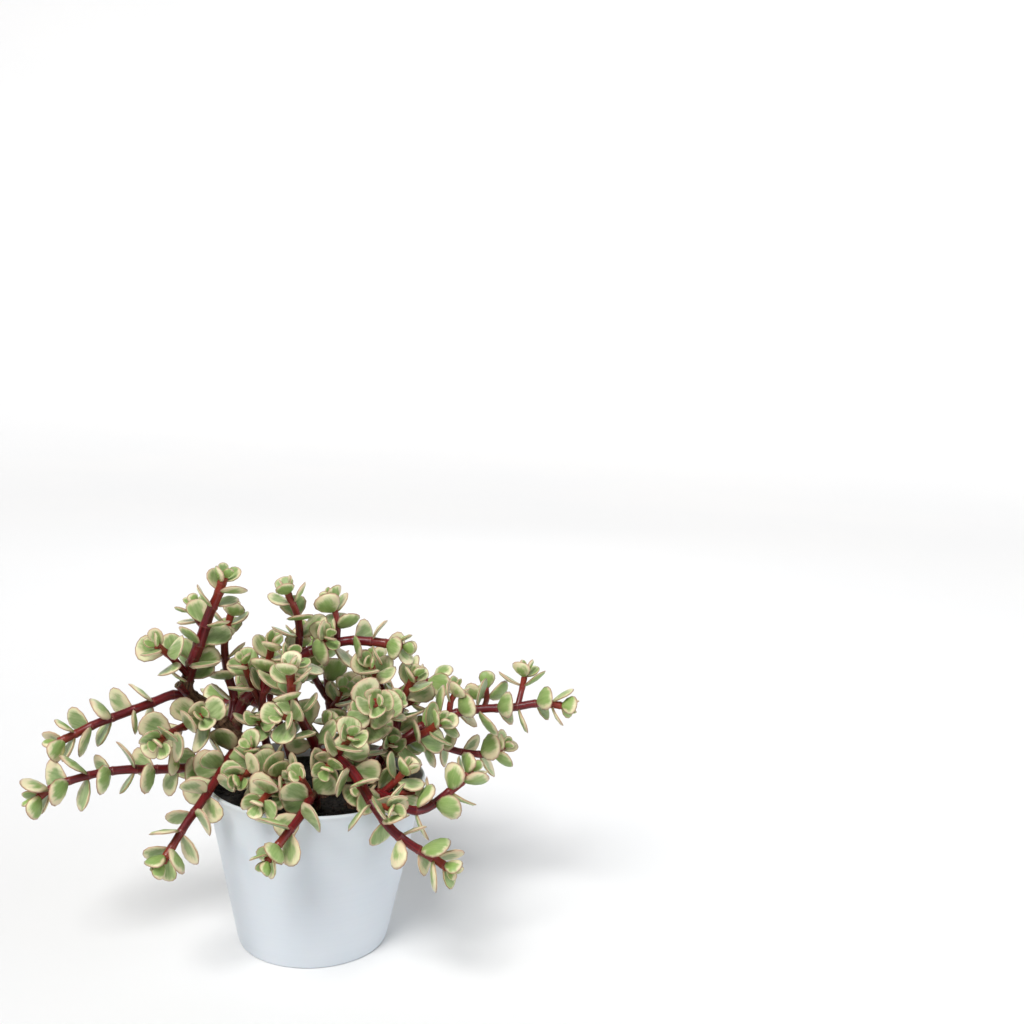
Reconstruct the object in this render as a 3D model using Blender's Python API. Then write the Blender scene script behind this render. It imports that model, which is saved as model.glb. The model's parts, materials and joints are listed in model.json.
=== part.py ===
"""A variegated elephant bush in a plain white pot, at its real size.

The origin is the middle of the pot's flat base, +Z is up and the plant's front is towards -Y.
Each stem that is rooted in the soil is one object with its side shoots and its leaves.
"""

import math
import random
from collections import namedtuple

import bmesh
import bpy
import numpy as np
from mathutils import Matrix, Vector
from mathutils.bvhtree import BVHTree

MM = 0.001

# The pot
RIM_RADIUS = 60 * MM
BASE_RADIUS = 41 * MM
POT_HEIGHT = 92 * MM
WALL = 2.4 * MM
FLOOR = 3 * MM
BASE_EDGE = 1.2 * MM
POT_SIDES = 40

# The soil, and the holes that the stems stand in
SEAT_GAP = 0.3 * MM
SOIL_LEVEL = 83 * MM
SOIL_RELIEF = 1.3 * MM
SOIL_SIDES = 20
SOIL_RINGS = 4
SOIL_DRAFT = 0.1 * MM
STILL_EDGE = 0.95
ROOT_DEPTH = 11 * MM
ROOT_COLLAR = 1.6 * SOIL_RELIEF
HOLE_SIDES = 8

# The stems
TRUNK_SIDES = 8
STEM_SIDES = 6
TWIG_SIDES = 5
TRUNK_FROM_RADIUS = 4 * MM
STEM_FROM_RADIUS = 2.6 * MM
RING_STEP = 12 * MM
CURVE_STEP = 1.5 * MM
TIP_TAPER = 1.2 * MM

# The leaves, which grow in pairs, each pair a quarter turn from the last
LEAF_GAPS = [1.2 * MM, 3 * MM, 5.5 * MM, 8.5 * MM, 10.5 * MM, 11.5 * MM]
LEAF_LENGTHS = [8 * MM, 12 * MM, 15 * MM, 16.5 * MM, 16.5 * MM, 16.5 * MM]
LEAF_TILTS = [22, 36, 48, 56, 60, 62]
GAP_CHANGE = (0.9, 1.12)
LENGTH_CHANGE = (0.86, 1.14)
TURN_CHANGE = 14
TILT_CHANGE = 9
ROLL_CHANGE = 16
LEAF_WIDTH = 0.92
LEAF_THICKNESS = 2.1 * MM
LEAF_CUP = 0.07
LEAF_ROOT = 0.3
LEAF_SPARE = 0.28 * MM
POT_SPARE = 1.5 * MM
SEED = 7

# A sprig is a short side shoot in the angle of a leaf
SPRIG_LENGTH = 15 * MM
SPRIG_RADIUS = 1.8 * MM
SPRIG_TRIES = 8
SPRIG_BARE = 5
SPRIG_TAPER = 0.85
SPRIG_FIRST = 0.35
SPRIG_ENDS = 0.6
SPRIG_BEND = (0.5, 0.2)
SPRIG_END = (0.85, 0.55)
STEM_SHARE = 0.8
RIM_ROOM = 2

# stem: the object; route: points in millimetres, which start just over the soil on a stem's first shoot;
# base, tip: radii in millimetres; bare: the leafless length at the foot in millimetres;
# turn: the tip pair's turn in degrees; sprigs: the number of short side shoots
Shoot = namedtuple("Shoot", "stem route base tip bare turn sprigs")

SHOOTS = [
    # The woody stem leans left and carries the tallest shoots
    Shoot("woody_stem", [(-30, 20, 87), (-40, 22, 101), (-50, 22, 111), (-60, 20, 124),
          (-71, 15, 135), (-69, 12, 149), (-63, 10, 167), (-59, 8, 180), (-54, 6, 192), (-51, 5, 202)],
          5.4, 2.4, 84, 20, 2),
    Shoot("woody_stem", [(-68, 16, 132), (-78, 13, 134), (-89, 8, 131), (-104, 0, 127), (-115, -5, 124),
          (-127, -10, 119), (-134, -12, 116)], 2.7, 2.1, 10, 75, 0),
    Shoot("woody_stem", [(-70, 12, 145), (-78, 2, 158), (-85, -6, 167)], 1.9, 1.9, 6, 30, 0),
    Shoot("woody_stem", [(-46, 22, 107), (-42, 28, 124), (-26, 30, 139), (-8, 28, 153), (13, 25, 161),
          (27, 22, 162), (39, 20, 161), (47, 18, 160)], 3.7, 2.4, 22, 10, 2),
    Shoot("woody_stem", [(-12, 28, 151), (-11, 27, 166), (-13, 25, 178), (-17, 24, 187), (-18, 23, 192)],
          2.3, 1.9, 6, 60, 0),
    Shoot("woody_stem", [(10, 25, 159), (10, 30, 171), (8, 33, 178), (5, 34, 184)], 1.9, 1.7, 6, 15, 0),
    Shoot("woody_stem", [(-55, 21, 117), (-63, 5, 121), (-72, -8, 122), (-78, -22, 122), (-81, -32, 122)],
          2.4, 2.0, 12, 45, 1),
    Shoot("woody_stem", [(-49, 22, 110), (-47, 31, 126), (-51, 35, 140), (-53, 37, 156), (-51, 37, 168),
          (-49, 37, 176)], 2.7, 2.0, 14, 0, 0),
    Shoot("woody_stem", [(-36, 21, 97), (-43, 8, 103), (-46, -4, 105), (-50, -27, 103), (-57, -46, 96),
          (-64, -57, 88), (-70, -64, 79), (-74, -68, 73)], 2.8, 2.0, 16, 25, 0),
    # A stem that arches low over the rim to the left
    Shoot("left_stem", [(-34, 4, 87), (-41, 2, 96), (-54, -1, 99), (-68, -5, 99), (-82, -10, 100),
          (-97, -15, 102), (-112, -20, 102), (-128, -25, 99), (-137, -28, 95), (-141, -29, 91)],
          2.9, 2.0, 26, 80, 0),
    # A slender upright stem behind the middle, with a bunched head
    Shoot("upright_stem", [(-20, 12, 87), (-27, 14, 102), (-30, 14, 118), (-30, 10, 137),
          (-27, 8, 154), (-25, 5, 165)], 2.5, 2.0, 34, 30, 1),
    Shoot("upright_stem", [(-30, 14, 125), (-37, 8, 143), (-40, 3, 155)], 1.8, 1.7, 8, 10, 0),
    Shoot("upright_stem", [(-30, 11, 134), (-21, 1, 149), (-14, -6, 160)], 1.8, 1.7, 8, 60, 0),
    # The middle stem forks: one arm stands up and one hangs over the rim to the right
    Shoot("middle_stem", [(4, -8, 87), (2, -13, 99), (-1, -18, 115), (-7, -22, 128),
          (-13, -24, 142), (-14, -26, 152), (-15, -27, 160)], 3.3, 2.3, 36, 40, 2),
    Shoot("middle_stem", [(-1, -18, 111), (9, -36, 115), (19, -51, 111), (28, -66, 101), (37, -74, 91),
          (46, -76, 84), (58, -78, 77), (66, -80, 72)], 3.0, 2.1, 12, 15, 2),
    Shoot("middle_stem", [(9, -36, 114), (14, -44, 124), (17, -51, 131)], 1.9, 1.9, 5, 65, 0),
    # A stem that hangs over the front of the rim
    Shoot("front_stem", [(0, -27, 86), (-1, -38, 96), (-3, -52, 99), (-7, -66, 96), (-14, -76, 90),
          (-20, -82, 84), (-23, -85, 80)], 2.7, 2.0, 28, 35, 1),
    Shoot("front_stem", [(-1, -36, 94), (-13, -41, 101), (-23, -51, 102), (-28, -62, 100)],
          1.9, 1.7, 8, 70, 0),
    Shoot("left_front_stem", [(-19, -12, 86), (-27, -21, 98), (-34, -31, 105), (-40, -42, 106)],
          2.3, 1.9, 20, 20, 2),
    Shoot("left_front_stem", [(-27, -21, 97), (-22, -34, 104), (-17, -45, 107)], 1.8, 1.7, 5, 55, 0),
    # A stem that leans to the front and shows its end
    Shoot("right_middle_stem", [(20, 3, 87), (25, -1, 109), (28, -15, 127), (29, -32, 140),
          (29, -45, 147)], 2.9, 2.3, 30, 0, 2),
    Shoot("right_upright_stem", [(38, 24, 87), (43, 25, 101), (46, 26, 116), (48, 24, 127),
          (51, 20, 136), (54, 17, 144)], 2.9, 2.1, 26, 50, 2),
    Shoot("right_upright_stem", [(44, 25, 110), (38, 26, 128), (32, 22, 142), (29, 15, 150)],
          2.2, 1.9, 8, 20, 0),
    # The right stem sends a long arm out to the side
    Shoot("right_stem", [(31, 9, 87), (36, 7, 99), (46, 3, 108), (60, -3, 117), (67, -7, 124)],
          3.0, 2.1, 26, 65, 1),
    Shoot("right_stem", [(44, 4, 106), (60, 10, 117), (72, 12, 121), (83, 12, 124), (95, 10, 126),
          (108, 8, 127), (122, 6, 130), (132, 4, 130), (140, 3, 129)], 2.8, 2.1, 16, 70, 1),
    Shoot("right_stem", [(93, 10, 126), (96, 20, 129), (96, 28, 135)], 1.7, 1.7, 5, 20, 0),
    Shoot("right_stem", [(112, 7, 128), (115, 12, 137), (117, 14, 147)], 1.7, 1.7, 5, 0, 0),
    Shoot("right_back_stem", [(31, 37, 86), (45, 37, 97), (64, 34, 98), (84, 31, 93), (101, 30, 92),
          (109, 28, 98)], 2.6, 2.0, 34, 30, 0),
    # A stem that dips over the rim and turns up again
    Shoot("right_low_stem", [(19, -24, 86), (27, -38, 97), (37, -51, 98), (47, -57, 94),
          (56, -54, 93), (67, -47, 98), (75, -44, 103), (81, -41, 109)], 2.8, 2.0, 34, 10, 1),
    Shoot("right_low_stem", [(24, -34, 94), (24, -44, 101), (22, -54, 105)], 2.0, 1.8, 5, 40, 0),
    Shoot("right_low_stem", [(33, -46, 98), (41, -47, 106), (46, -48, 113)], 2.0, 1.8, 5, 75, 0),
    # Three stems fill the back
    Shoot("back_left_stem", [(-14, 38, 87), (-22, 51, 104), (-35, 65, 112), (-51, 79, 111),
          (-66, 91, 103), (-76, 98, 96)], 2.9, 2.0, 26, 40, 0),
    Shoot("back_left_stem", [(-26, 55, 107), (-29, 63, 123), (-29, 68, 137)], 2.1, 1.9, 8, 0, 0),
    Shoot("back_stem", [(8, 36, 87), (8, 47, 106), (6, 58, 124), (4, 72, 137), (2, 86, 142),
          (1, 96, 141)], 3.1, 2.1, 30, 25, 1),
    Shoot("back_stem", [(8, 49, 110), (16, 62, 115), (22, 77, 115), (25, 90, 109), (26, 99, 102)],
          2.4, 1.9, 10, 55, 0),
    Shoot("back_stem", [(7, 54, 117), (-3, 57, 132), (-9, 58, 146), (-10, 57, 158)], 2.2, 1.9, 8, 10, 0),
    Shoot("back_right_stem", [(22, 25, 87), (30, 42, 105), (42, 56, 117), (56, 67, 123),
          (69, 76, 123), (79, 84, 118)], 2.9, 2.0, 30, 60, 1),
    Shoot("back_right_stem", [(36, 50, 112), (36, 60, 127), (34, 67, 140)], 2.1, 1.9, 8, 30, 0),
]

POT_COLOUR = (0.72, 0.77, 0.82, 1)
SOIL_COLOUR = (0.035, 0.026, 0.02, 1)
LEAF_COLOUR = (0.33, 0.45, 0.22, 1)
STEM_COLOUR = (0.2, 0.02, 0.03, 1)
POT_ROUGHNESS, SOIL_ROUGHNESS, STEM_ROUGHNESS, LEAF_ROUGHNESS = 0.42, 0.95, 0.4, 0.38

# The leaf's half outline as share of its width and length, from its root to its tip
LEAF_OUTLINE = [(0.36, 0.28), (0.5, 0.64), (0.26, 0.97)]
LEAF_MIDDLE = 0.56


def material(name, colour, roughness):
    """A plain finish for one kind of surface."""
    made = bpy.data.materials.new(name)
    made.use_nodes = True
    shader = made.node_tree.nodes["Principled BSDF"]
    shader.inputs["Base Color"].default_value = colour
    shader.inputs["Roughness"].default_value = roughness
    made.diffuse_color = colour
    return made


def add_object(name, mesh, finish):
    """An object in the scene for a mesh, with one material."""
    mesh.materials.append(finish)
    made = bpy.data.objects.new(name, mesh)
    bpy.context.collection.objects.link(made)
    return made


def lathe(name, profile, sides):
    """A closed solid: the profile, from axis to axis, turned round +Z."""
    shape = bmesh.new()
    points = [shape.verts.new((radius, 0, height)) for radius, height in profile]
    edges = [shape.edges.new(pair) for pair in zip(points, points[1:])]
    bmesh.ops.spin(shape, geom=points + edges, cent=(0, 0, 0), axis=(0, 0, 1), angle=2 * math.pi,
                   steps=sides, use_merge=True)
    bmesh.ops.remove_doubles(shape, verts=shape.verts, dist=1e-6)
    bmesh.ops.recalc_face_normals(shape, faces=shape.faces)
    mesh = bpy.data.meshes.new(name)
    shape.to_mesh(mesh)
    shape.free()
    return mesh


def wall_radius(height, inset=0.0):
    """The pot's outer radius at a height, less an inset."""
    share = height / POT_HEIGHT
    return BASE_RADIUS + (RIM_RADIUS - BASE_RADIUS) * share - inset


def pot(finish):
    """A thin tapered pot with a flat base and a rounded rim."""
    rim = WALL / 2
    profile = [(0, 0), (BASE_RADIUS - BASE_EDGE, 0), (wall_radius(BASE_EDGE), BASE_EDGE),
               (wall_radius(POT_HEIGHT - rim), POT_HEIGHT - rim), (RIM_RADIUS - 0.3 * WALL, POT_HEIGHT),
               (RIM_RADIUS - 0.7 * WALL, POT_HEIGHT), (wall_radius(POT_HEIGHT - rim, WALL), POT_HEIGHT - rim),
               (wall_radius(FLOOR, WALL), FLOOR), (0, FLOOR)]
    made = add_object("pot", lathe("pot", profile, POT_SIDES), finish)
    made.data.shade_smooth()
    made.data.set_sharp_from_angle(angle=math.radians(35))


def crumble(x, y):
    """The height of the soil's lumps: three crossed waves of different lengths."""
    broad = math.sin(x / (9 * MM)) * math.cos(y / (7 * MM))
    fine = math.sin((x + 2 * y) / (4 * MM)) * math.cos((y - 1.5 * x) / (5 * MM))
    return SOIL_RELIEF * (0.6 * broad + 0.4 * fine)


def soil(finish):
    """The soil fills the pot to just under the rim, with a hole for each rooted stem."""
    foot = FLOOR + SEAT_GAP
    inset = WALL + SEAT_GAP
    edge = wall_radius(SOIL_LEVEL, inset) - SOIL_DRAFT
    rings = [edge * k / SOIL_RINGS for k in range(SOIL_RINGS, -1, -1)]
    profile = [(0, foot), (wall_radius(foot, inset) - SOIL_DRAFT, foot)] + [(r, SOIL_LEVEL) for r in rings]
    mesh = lathe("soil", profile, SOIL_SIDES)
    for vertex in mesh.vertices:
        if vertex.co.z > SOIL_LEVEL - MM and vertex.co.xy.length < STILL_EDGE * edge:
            vertex.co.z += crumble(vertex.co.x, vertex.co.y)
    made = add_object("soil", mesh, finish)
    for number, shoot in enumerate(rooted_shoots()):
        x, y, _ = shoot.route[0]
        radius = (shoot.base * MM + SEAT_GAP) / math.cos(math.pi / HOLE_SIDES)
        depth = ROOT_DEPTH + SEAT_GAP
        bpy.ops.mesh.primitive_cylinder_add(
            vertices=HOLE_SIDES, radius=radius, depth=2 * depth, location=(x * MM, y * MM, SOIL_LEVEL))
        cutter = bpy.context.object
        cutter.name = f"hole_cutter_{number}"
        cutter.hide_render = True
        cutter.display_type = "WIRE"
        cut = made.modifiers.new(cutter.name, "BOOLEAN")
        cut.operation = "DIFFERENCE"
        cut.object = cutter


def rooted_shoots():
    """The first shoot of each stem, which stands in the soil."""
    return [shoot for k, shoot in enumerate(SHOOTS) if k == 0 or SHOOTS[k - 1].stem != shoot.stem]


def root_points(shoot):
    """Two points below a rooted stem's route, which hold it upright in its hole. A side shoot has none."""
    if shoot not in rooted_shoots():
        return []
    x, y, _ = shoot.route[0]
    heights = (SOIL_LEVEL - ROOT_DEPTH, SOIL_LEVEL + ROOT_COLLAR)
    return [Vector((x * MM, y * MM, height)) for height in heights]


class Axis:
    """The smooth centre line of a shoot, with its radius and a frame at each distance from its foot."""

    def __init__(self, shoot):
        self.shoot = shoot
        self.points = self.smooth(root_points(shoot) + [Vector(p) * MM for p in shoot.route])
        steps = [(b - a).length for a, b in zip(self.points, self.points[1:])]
        self.distances = np.concatenate([[0.0], np.cumsum(steps)])
        self.length = float(self.distances[-1])
        self.sides = self.carry_side()

    @staticmethod
    def smooth(route):
        """A Catmull-Rom curve: it passes through every point of the route without a corner."""
        ends = [2 * route[0] - route[1]] + route + [2 * route[-1] - route[-2]]
        curve = []
        for a, b, c, d in zip(ends, ends[1:], ends[2:], ends[3:]):
            pieces = max(2, math.ceil((c - b).length / CURVE_STEP))
            for k in range(pieces):
                t = k / pieces
                curve.append(0.5 * (2 * b + (c - a) * t + (2 * a - 5 * b + 4 * c - d) * t * t
                                    + (3 * b - a - 3 * c + d) * t ** 3))
        return curve + [route[-1]]

    def carry_side(self):
        """A sideways direction at each point, carried along so that it never spins round the line."""
        side = Vector((0, 0, 1)).cross(self.points[-1] - self.points[0])
        side = side.normalized() if side.length > 2 * MM else Vector((1, 0, 0))
        sides = []
        for a, b in zip(self.points, self.points[1:]):
            along = (b - a).normalized()
            side = (side - along * side.dot(along)).normalized()
            sides.append(side)
        return sides + [sides[-1]]

    def at(self, distance):
        """The point, direction and two sideways directions at a distance from the foot."""
        k = int(np.searchsorted(self.distances, distance, side="right")) - 1
        k = min(max(k, 0), len(self.points) - 2)
        a, b = self.points[k], self.points[k + 1]
        share = (distance - self.distances[k]) / (self.distances[k + 1] - self.distances[k])
        along = (b - a).normalized()
        side = self.sides[k]
        return a.lerp(b, share), along, side, along.cross(side)

    def radius(self, distance):
        """The radius falls evenly from foot to tip."""
        share = distance / self.length
        return (self.shoot.base + (self.shoot.tip - self.shoot.base) * share) * MM


def tube(axis):
    """The points and faces of a shoot's stem: rings of points along its centre line."""
    foot_radius = axis.shoot.base * MM
    sides = TRUNK_SIDES if foot_radius > TRUNK_FROM_RADIUS else (
        STEM_SIDES if foot_radius > STEM_FROM_RADIUS else TWIG_SIDES)
    count = max(2, round(axis.length / RING_STEP))
    points = []
    for k in range(count + 1):
        middle, _, right, up = axis.at(axis.length * k / count)
        radius = axis.radius(axis.length * k / count)
        if k == count:
            radius -= TIP_TAPER * 0.5
        for n in range(sides):
            turn = 2 * math.pi * n / sides
            points.append(middle + radius * (math.cos(turn) * right + math.sin(turn) * up))
    faces = []
    for k in range(count):
        for n in range(sides):
            low, next_low = k * sides + n, k * sides + (n + 1) % sides
            faces.append((low, next_low, next_low + sides, low + sides))
    foot, tip = len(points), len(points) + 1
    points.append(axis.points[0])
    end, along, _, _ = axis.at(axis.length)
    points.append(end + along * TIP_TAPER)
    for n in range(sides):
        last = count * sides
        faces.append((foot, (n + 1) % sides, n))
        faces.append((tip, last + n, last + (n + 1) % sides))
    return points, faces


def leaf_points(place, length, spare=0.0):
    """A fleshy spoon-shaped leaf: a cupped outline from the root, and the crown of each face."""
    width = LEAF_WIDTH * length
    half = [(w * width + spare, t * length + spare * (2 * t - 1)) for w, t in LEAF_OUTLINE]
    outline = [(0, 0)] + half + [(-x, y) for x, y in reversed(half)]
    points = [Vector((x, y, LEAF_CUP * length * (2 * y / length - 1) ** 2)) for x, y in outline]
    crown = LEAF_THICKNESS / 2 + spare
    points += [Vector((0, LEAF_MIDDLE * length, z)) for z in (crown, -crown)]
    return [place @ p for p in points]


def leaf_faces():
    """A fan of faces round the upper crown, and one the other way round about the lower."""
    rim = 2 * len(LEAF_OUTLINE) + 1
    upper = [(k, (k + 1) % rim, rim) for k in range(rim)]
    return upper + [((k + 1) % rim, k, rim + 1) for k in range(rim)]


class Crowd:
    """The solids that are in place already, so that the next one can be kept clear of them."""

    def __init__(self):
        self.owners = []
        self.trees = []
        self.middles = np.zeros((0, 3))
        self.reaches = np.zeros(0)

    @staticmethod
    def ball(points):
        cloud = np.array([p[:] for p in points])
        middle = cloud.mean(axis=0)
        return middle, float(np.linalg.norm(cloud - middle, axis=1).max())

    def add(self, points, faces, owner):
        middle, reach = self.ball(points)
        self.owners.append(owner)
        self.trees.append(BVHTree.FromPolygons(points, faces))
        self.middles = np.vstack([self.middles, middle])
        self.reaches = np.append(self.reaches, reach)

    def touches(self, points, faces, own):
        """Whether a solid meets any of those in place, apart from the stem that it grows on."""
        middle, reach = self.ball(points)
        apart = np.linalg.norm(self.middles - middle, axis=1)
        near = np.nonzero(apart < self.reaches + reach)[0]
        tree = BVHTree.FromPolygons(points, faces)
        return any(self.owners[k] != own and tree.overlap(self.trees[k]) for k in near)


def meets_pot(points):
    """Whether a leaf meets the pot or the soil: it is above the rim, outside the wall or over the soil."""
    if all(p.z > POT_HEIGHT + POT_SPARE for p in points):
        return False
    low = [p for p in points if p.z < POT_HEIGHT + 4 * POT_SPARE]
    if all(p.xy.length > wall_radius(p.z) + POT_SPARE for p in low):
        return False
    within = RIM_RADIUS - WALL - 3 * POT_SPARE
    return not all(p.xy.length < within and p.z > SOIL_LEVEL + 2 * SOIL_RELIEF for p in points)


def leaf_place(axis, distance, turn, tilt, roll):
    """A leaf's own frame: its root in the stem, its length outwards and its upper face to the tip."""
    middle, along, right, up = axis.at(distance)
    out = math.cos(turn) * right + math.sin(turn) * up
    length = (math.cos(tilt) * along + math.sin(tilt) * out).normalized()
    face = (math.sin(tilt) * along - math.cos(tilt) * out).normalized()
    side = length.cross(face)
    rolled_face = math.cos(roll) * face + math.sin(roll) * side
    rolled_side = math.cos(roll) * side - math.sin(roll) * face
    frame = Matrix((rolled_side, length, rolled_face)).transposed().to_4x4()
    frame.translation = middle + out * axis.radius(distance) * LEAF_ROOT
    return frame


# The changes of turn and tilt in degrees that a leaf may make to stay clear, smallest first
EASINGS = sorted(((turn, tilt) for turn in (0, 14, -14, 28, -28, 42, -42) for tilt in (0, 12, -12, 24, -24)),
                 key=lambda change: abs(change[0]) + 1.2 * abs(change[1]))
SHRINKS = (1.0, 0.84, 0.7)


def leaves_on(axis, number, crowd):
    """The places and lengths of a shoot's leaves, from its tip to its foot."""
    draw = random.Random(SEED * 1000 + number)
    placed = []
    distance = axis.length
    pair = 0
    while True:
        step = min(pair, len(LEAF_GAPS) - 1)
        distance -= LEAF_GAPS[step] * draw.uniform(*GAP_CHANGE)
        if distance < axis.shoot.bare * MM:
            return placed
        first = math.radians(axis.shoot.turn + 90 * pair + draw.uniform(-TURN_CHANGE, TURN_CHANGE))
        for side in (0, math.pi):
            length = LEAF_LENGTHS[step] * draw.uniform(*LENGTH_CHANGE)
            tilt = math.radians(LEAF_TILTS[step] + draw.uniform(-TILT_CHANGE, TILT_CHANGE))
            roll = math.radians(draw.uniform(-ROLL_CHANGE, ROLL_CHANGE))
            found = clear_place(axis, distance, first + side, tilt, roll, length, crowd)
            if found:
                placed.append(found)
                crowd.add(leaf_points(*found), leaf_faces(), "leaf")
        pair += 1


def clear_place(axis, distance, turn, tilt, roll, length, crowd):
    """The first place, near the one wanted, where the leaf is clear of all others, or None."""
    for shrink in SHRINKS:
        for more_turn, more_tilt in EASINGS:
            eased = turn + math.radians(more_turn), tilt + math.radians(more_tilt)
            place = leaf_place(axis, distance, *eased, roll)
            points = leaf_points(place, length * shrink, LEAF_SPARE)
            if not meets_pot(points) and not crowd.touches(points, leaf_faces(), id(axis)):
                return place, length * shrink
    return None


def sprigs_of(axis, number, axes):
    """Short side shoots, each turned to where the other stems are furthest away."""
    draw = random.Random(SEED * 2000 + number)
    made = []
    for k in range(axis.shoot.sprigs):
        leafy = axis.length - axis.shoot.bare * MM
        distance = axis.shoot.bare * MM + leafy * (k + SPRIG_FIRST) / (axis.shoot.sprigs + SPRIG_ENDS)
        middle, along, right, up = axis.at(distance)
        others = np.array([p[:] for other in axes if other is not axis for p in other.points])
        start = draw.uniform(0, 2 * math.pi)
        best = None
        for n in range(SPRIG_TRIES):
            turn = start + 2 * math.pi * n / SPRIG_TRIES
            out = math.cos(turn) * right + math.sin(turn) * up
            bend, end = (middle + SPRIG_LENGTH * (a * out + b * along) for a, b in (SPRIG_BEND, SPRIG_END))
            room = float(np.linalg.norm(others - np.array(end[:]), axis=1).min())
            room = min(room, (end.z - POT_HEIGHT) * RIM_ROOM)
            if best is None or room > best[0]:
                best = (room, bend, end)
        route = [tuple(point / MM) for point in (middle, best[1], best[2])]
        radius = min(SPRIG_RADIUS / MM, STEM_SHARE * axis.radius(distance) / MM)
        twig = Shoot(axis.shoot.stem, route, radius, SPRIG_TAPER * radius, SPRIG_BARE, draw.uniform(0, 90), 0)
        made.append(Axis(twig))
    return made


def grow():
    """Every shoot with its leaves, as a list of centre lines and a list of leaves for each."""
    axes = [Axis(shoot) for shoot in SHOOTS]
    for number, axis in enumerate(list(axes)):
        axes += sprigs_of(axis, number, axes)
    crowd = Crowd()
    for axis in axes:
        crowd.add(*tube(axis), id(axis))
    return axes, [leaves_on(axis, number, crowd) for number, axis in enumerate(axes)]


def loose_piece(points, faces, finish, pieces):
    """One stem or leaf as an object of its own, ready to be joined."""
    mesh = bpy.data.meshes.new("piece")
    mesh.from_pydata([p[:] for p in points], [], faces)
    made = add_object("piece", mesh, finish)
    pieces.objects.link(made)
    bpy.context.collection.objects.unlink(made)
    return made


def leafy_stem(name, axes, leaves, stem_finish, leaf_finish):
    """One rooted stem: its shoots and leaves joined into a single solid."""
    pieces = bpy.data.collections.new(name + "_pieces")
    bpy.context.scene.collection.children.link(pieces)
    for axis, own_leaves in zip(axes, leaves):
        loose_piece(*tube(axis), stem_finish, pieces)
        for place, length in own_leaves:
            loose_piece(leaf_points(place, length), leaf_faces(), leaf_finish, pieces)
    first = pieces.objects[0]
    pieces.objects.unlink(first)
    bpy.context.collection.objects.link(first)
    first.name = name
    first.data.materials.append(leaf_finish)
    join = first.modifiers.new("join", "BOOLEAN")
    join.operation = "UNION"
    join.operand_type = "COLLECTION"
    join.collection = pieces
    join.material_mode = "TRANSFER"
    whole = bpy.data.meshes.new_from_object(first.evaluated_get(bpy.context.evaluated_depsgraph_get()))
    first.modifiers.clear()
    first.data = whole
    whole.name = name
    for piece in list(pieces.objects):
        bpy.data.objects.remove(piece)
    bpy.data.collections.remove(pieces)
    return first


def build():
    for old in list(bpy.data.objects):
        bpy.data.objects.remove(old)
    pot(material("white_pot", POT_COLOUR, POT_ROUGHNESS))
    soil(material("potting_soil", SOIL_COLOUR, SOIL_ROUGHNESS))
    stem_finish = material("red_stem", STEM_COLOUR, STEM_ROUGHNESS)
    leaf_finish = material("variegated_leaf", LEAF_COLOUR, LEAF_ROUGHNESS)
    axes, leaves = grow()
    for name in [shoot.stem for shoot in rooted_shoots()]:
        own = [k for k, axis in enumerate(axes) if axis.shoot.stem == name]
        made = leafy_stem(name, [axes[k] for k in own], [leaves[k] for k in own], stem_finish, leaf_finish)
        count = sum(len(leaves[k]) for k in own)
        print(f"{name}: {len(own)} shoots, {count} leaves, {len(made.data.polygons)} faces")


build()
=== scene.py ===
# %% [markdown]
# # A variegated elephant bush in a white pot
#
# This lesson dresses a finished construction model with its real surfaces. The model is loaded as a
# fixed frame: the pot, the soil and fourteen rooted stems with their leaves, all with few faces. Each
# rooted stem is replaced by smooth stems and fleshy leaves that grow by the same rule as the model's,
# so a fine leaf lies exactly where a coarse one was.

import json
import math
import random
from collections import namedtuple

import bpy
import numpy as np
from mathutils import Matrix, Vector
from mathutils.bvhtree import BVHTree

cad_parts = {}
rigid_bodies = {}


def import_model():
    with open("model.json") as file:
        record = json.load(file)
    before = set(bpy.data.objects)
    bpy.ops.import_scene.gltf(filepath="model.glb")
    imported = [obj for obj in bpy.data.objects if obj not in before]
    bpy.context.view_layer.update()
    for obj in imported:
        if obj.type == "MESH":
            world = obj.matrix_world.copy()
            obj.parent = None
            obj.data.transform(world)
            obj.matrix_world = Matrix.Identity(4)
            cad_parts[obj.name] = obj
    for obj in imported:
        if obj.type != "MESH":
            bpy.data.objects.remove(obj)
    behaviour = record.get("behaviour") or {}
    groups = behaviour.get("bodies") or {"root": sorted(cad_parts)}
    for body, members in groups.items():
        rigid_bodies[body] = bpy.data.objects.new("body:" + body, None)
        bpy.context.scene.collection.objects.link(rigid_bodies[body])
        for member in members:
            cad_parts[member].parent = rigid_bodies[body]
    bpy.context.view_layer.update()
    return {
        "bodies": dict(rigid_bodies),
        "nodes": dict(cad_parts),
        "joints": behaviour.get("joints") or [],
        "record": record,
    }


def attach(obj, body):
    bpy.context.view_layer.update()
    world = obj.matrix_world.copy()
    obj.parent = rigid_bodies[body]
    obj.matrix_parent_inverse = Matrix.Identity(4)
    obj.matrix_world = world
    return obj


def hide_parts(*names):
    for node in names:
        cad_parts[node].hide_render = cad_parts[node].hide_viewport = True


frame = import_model()
MM = 0.001

# %% [markdown]
# ## The camera
#
# The photograph was taken from close by, a little above the plant, with the camera slightly turned and
# tilted. A camera's own axes are worked out from three angles: yaw turns it to the right, pitch tips
# it down, roll leans it. This is clearer than three Euler angles, because each number can be read as
# what the photographer did.

# %% Camera
CAMERA_PLACE = Vector((0, -0.643, 0.332))
CAMERA_YAW, CAMERA_PITCH, CAMERA_ROLL = (math.radians(angle) for angle in (9.1, 8.0, 2.4))
LENS = 42.19


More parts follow.
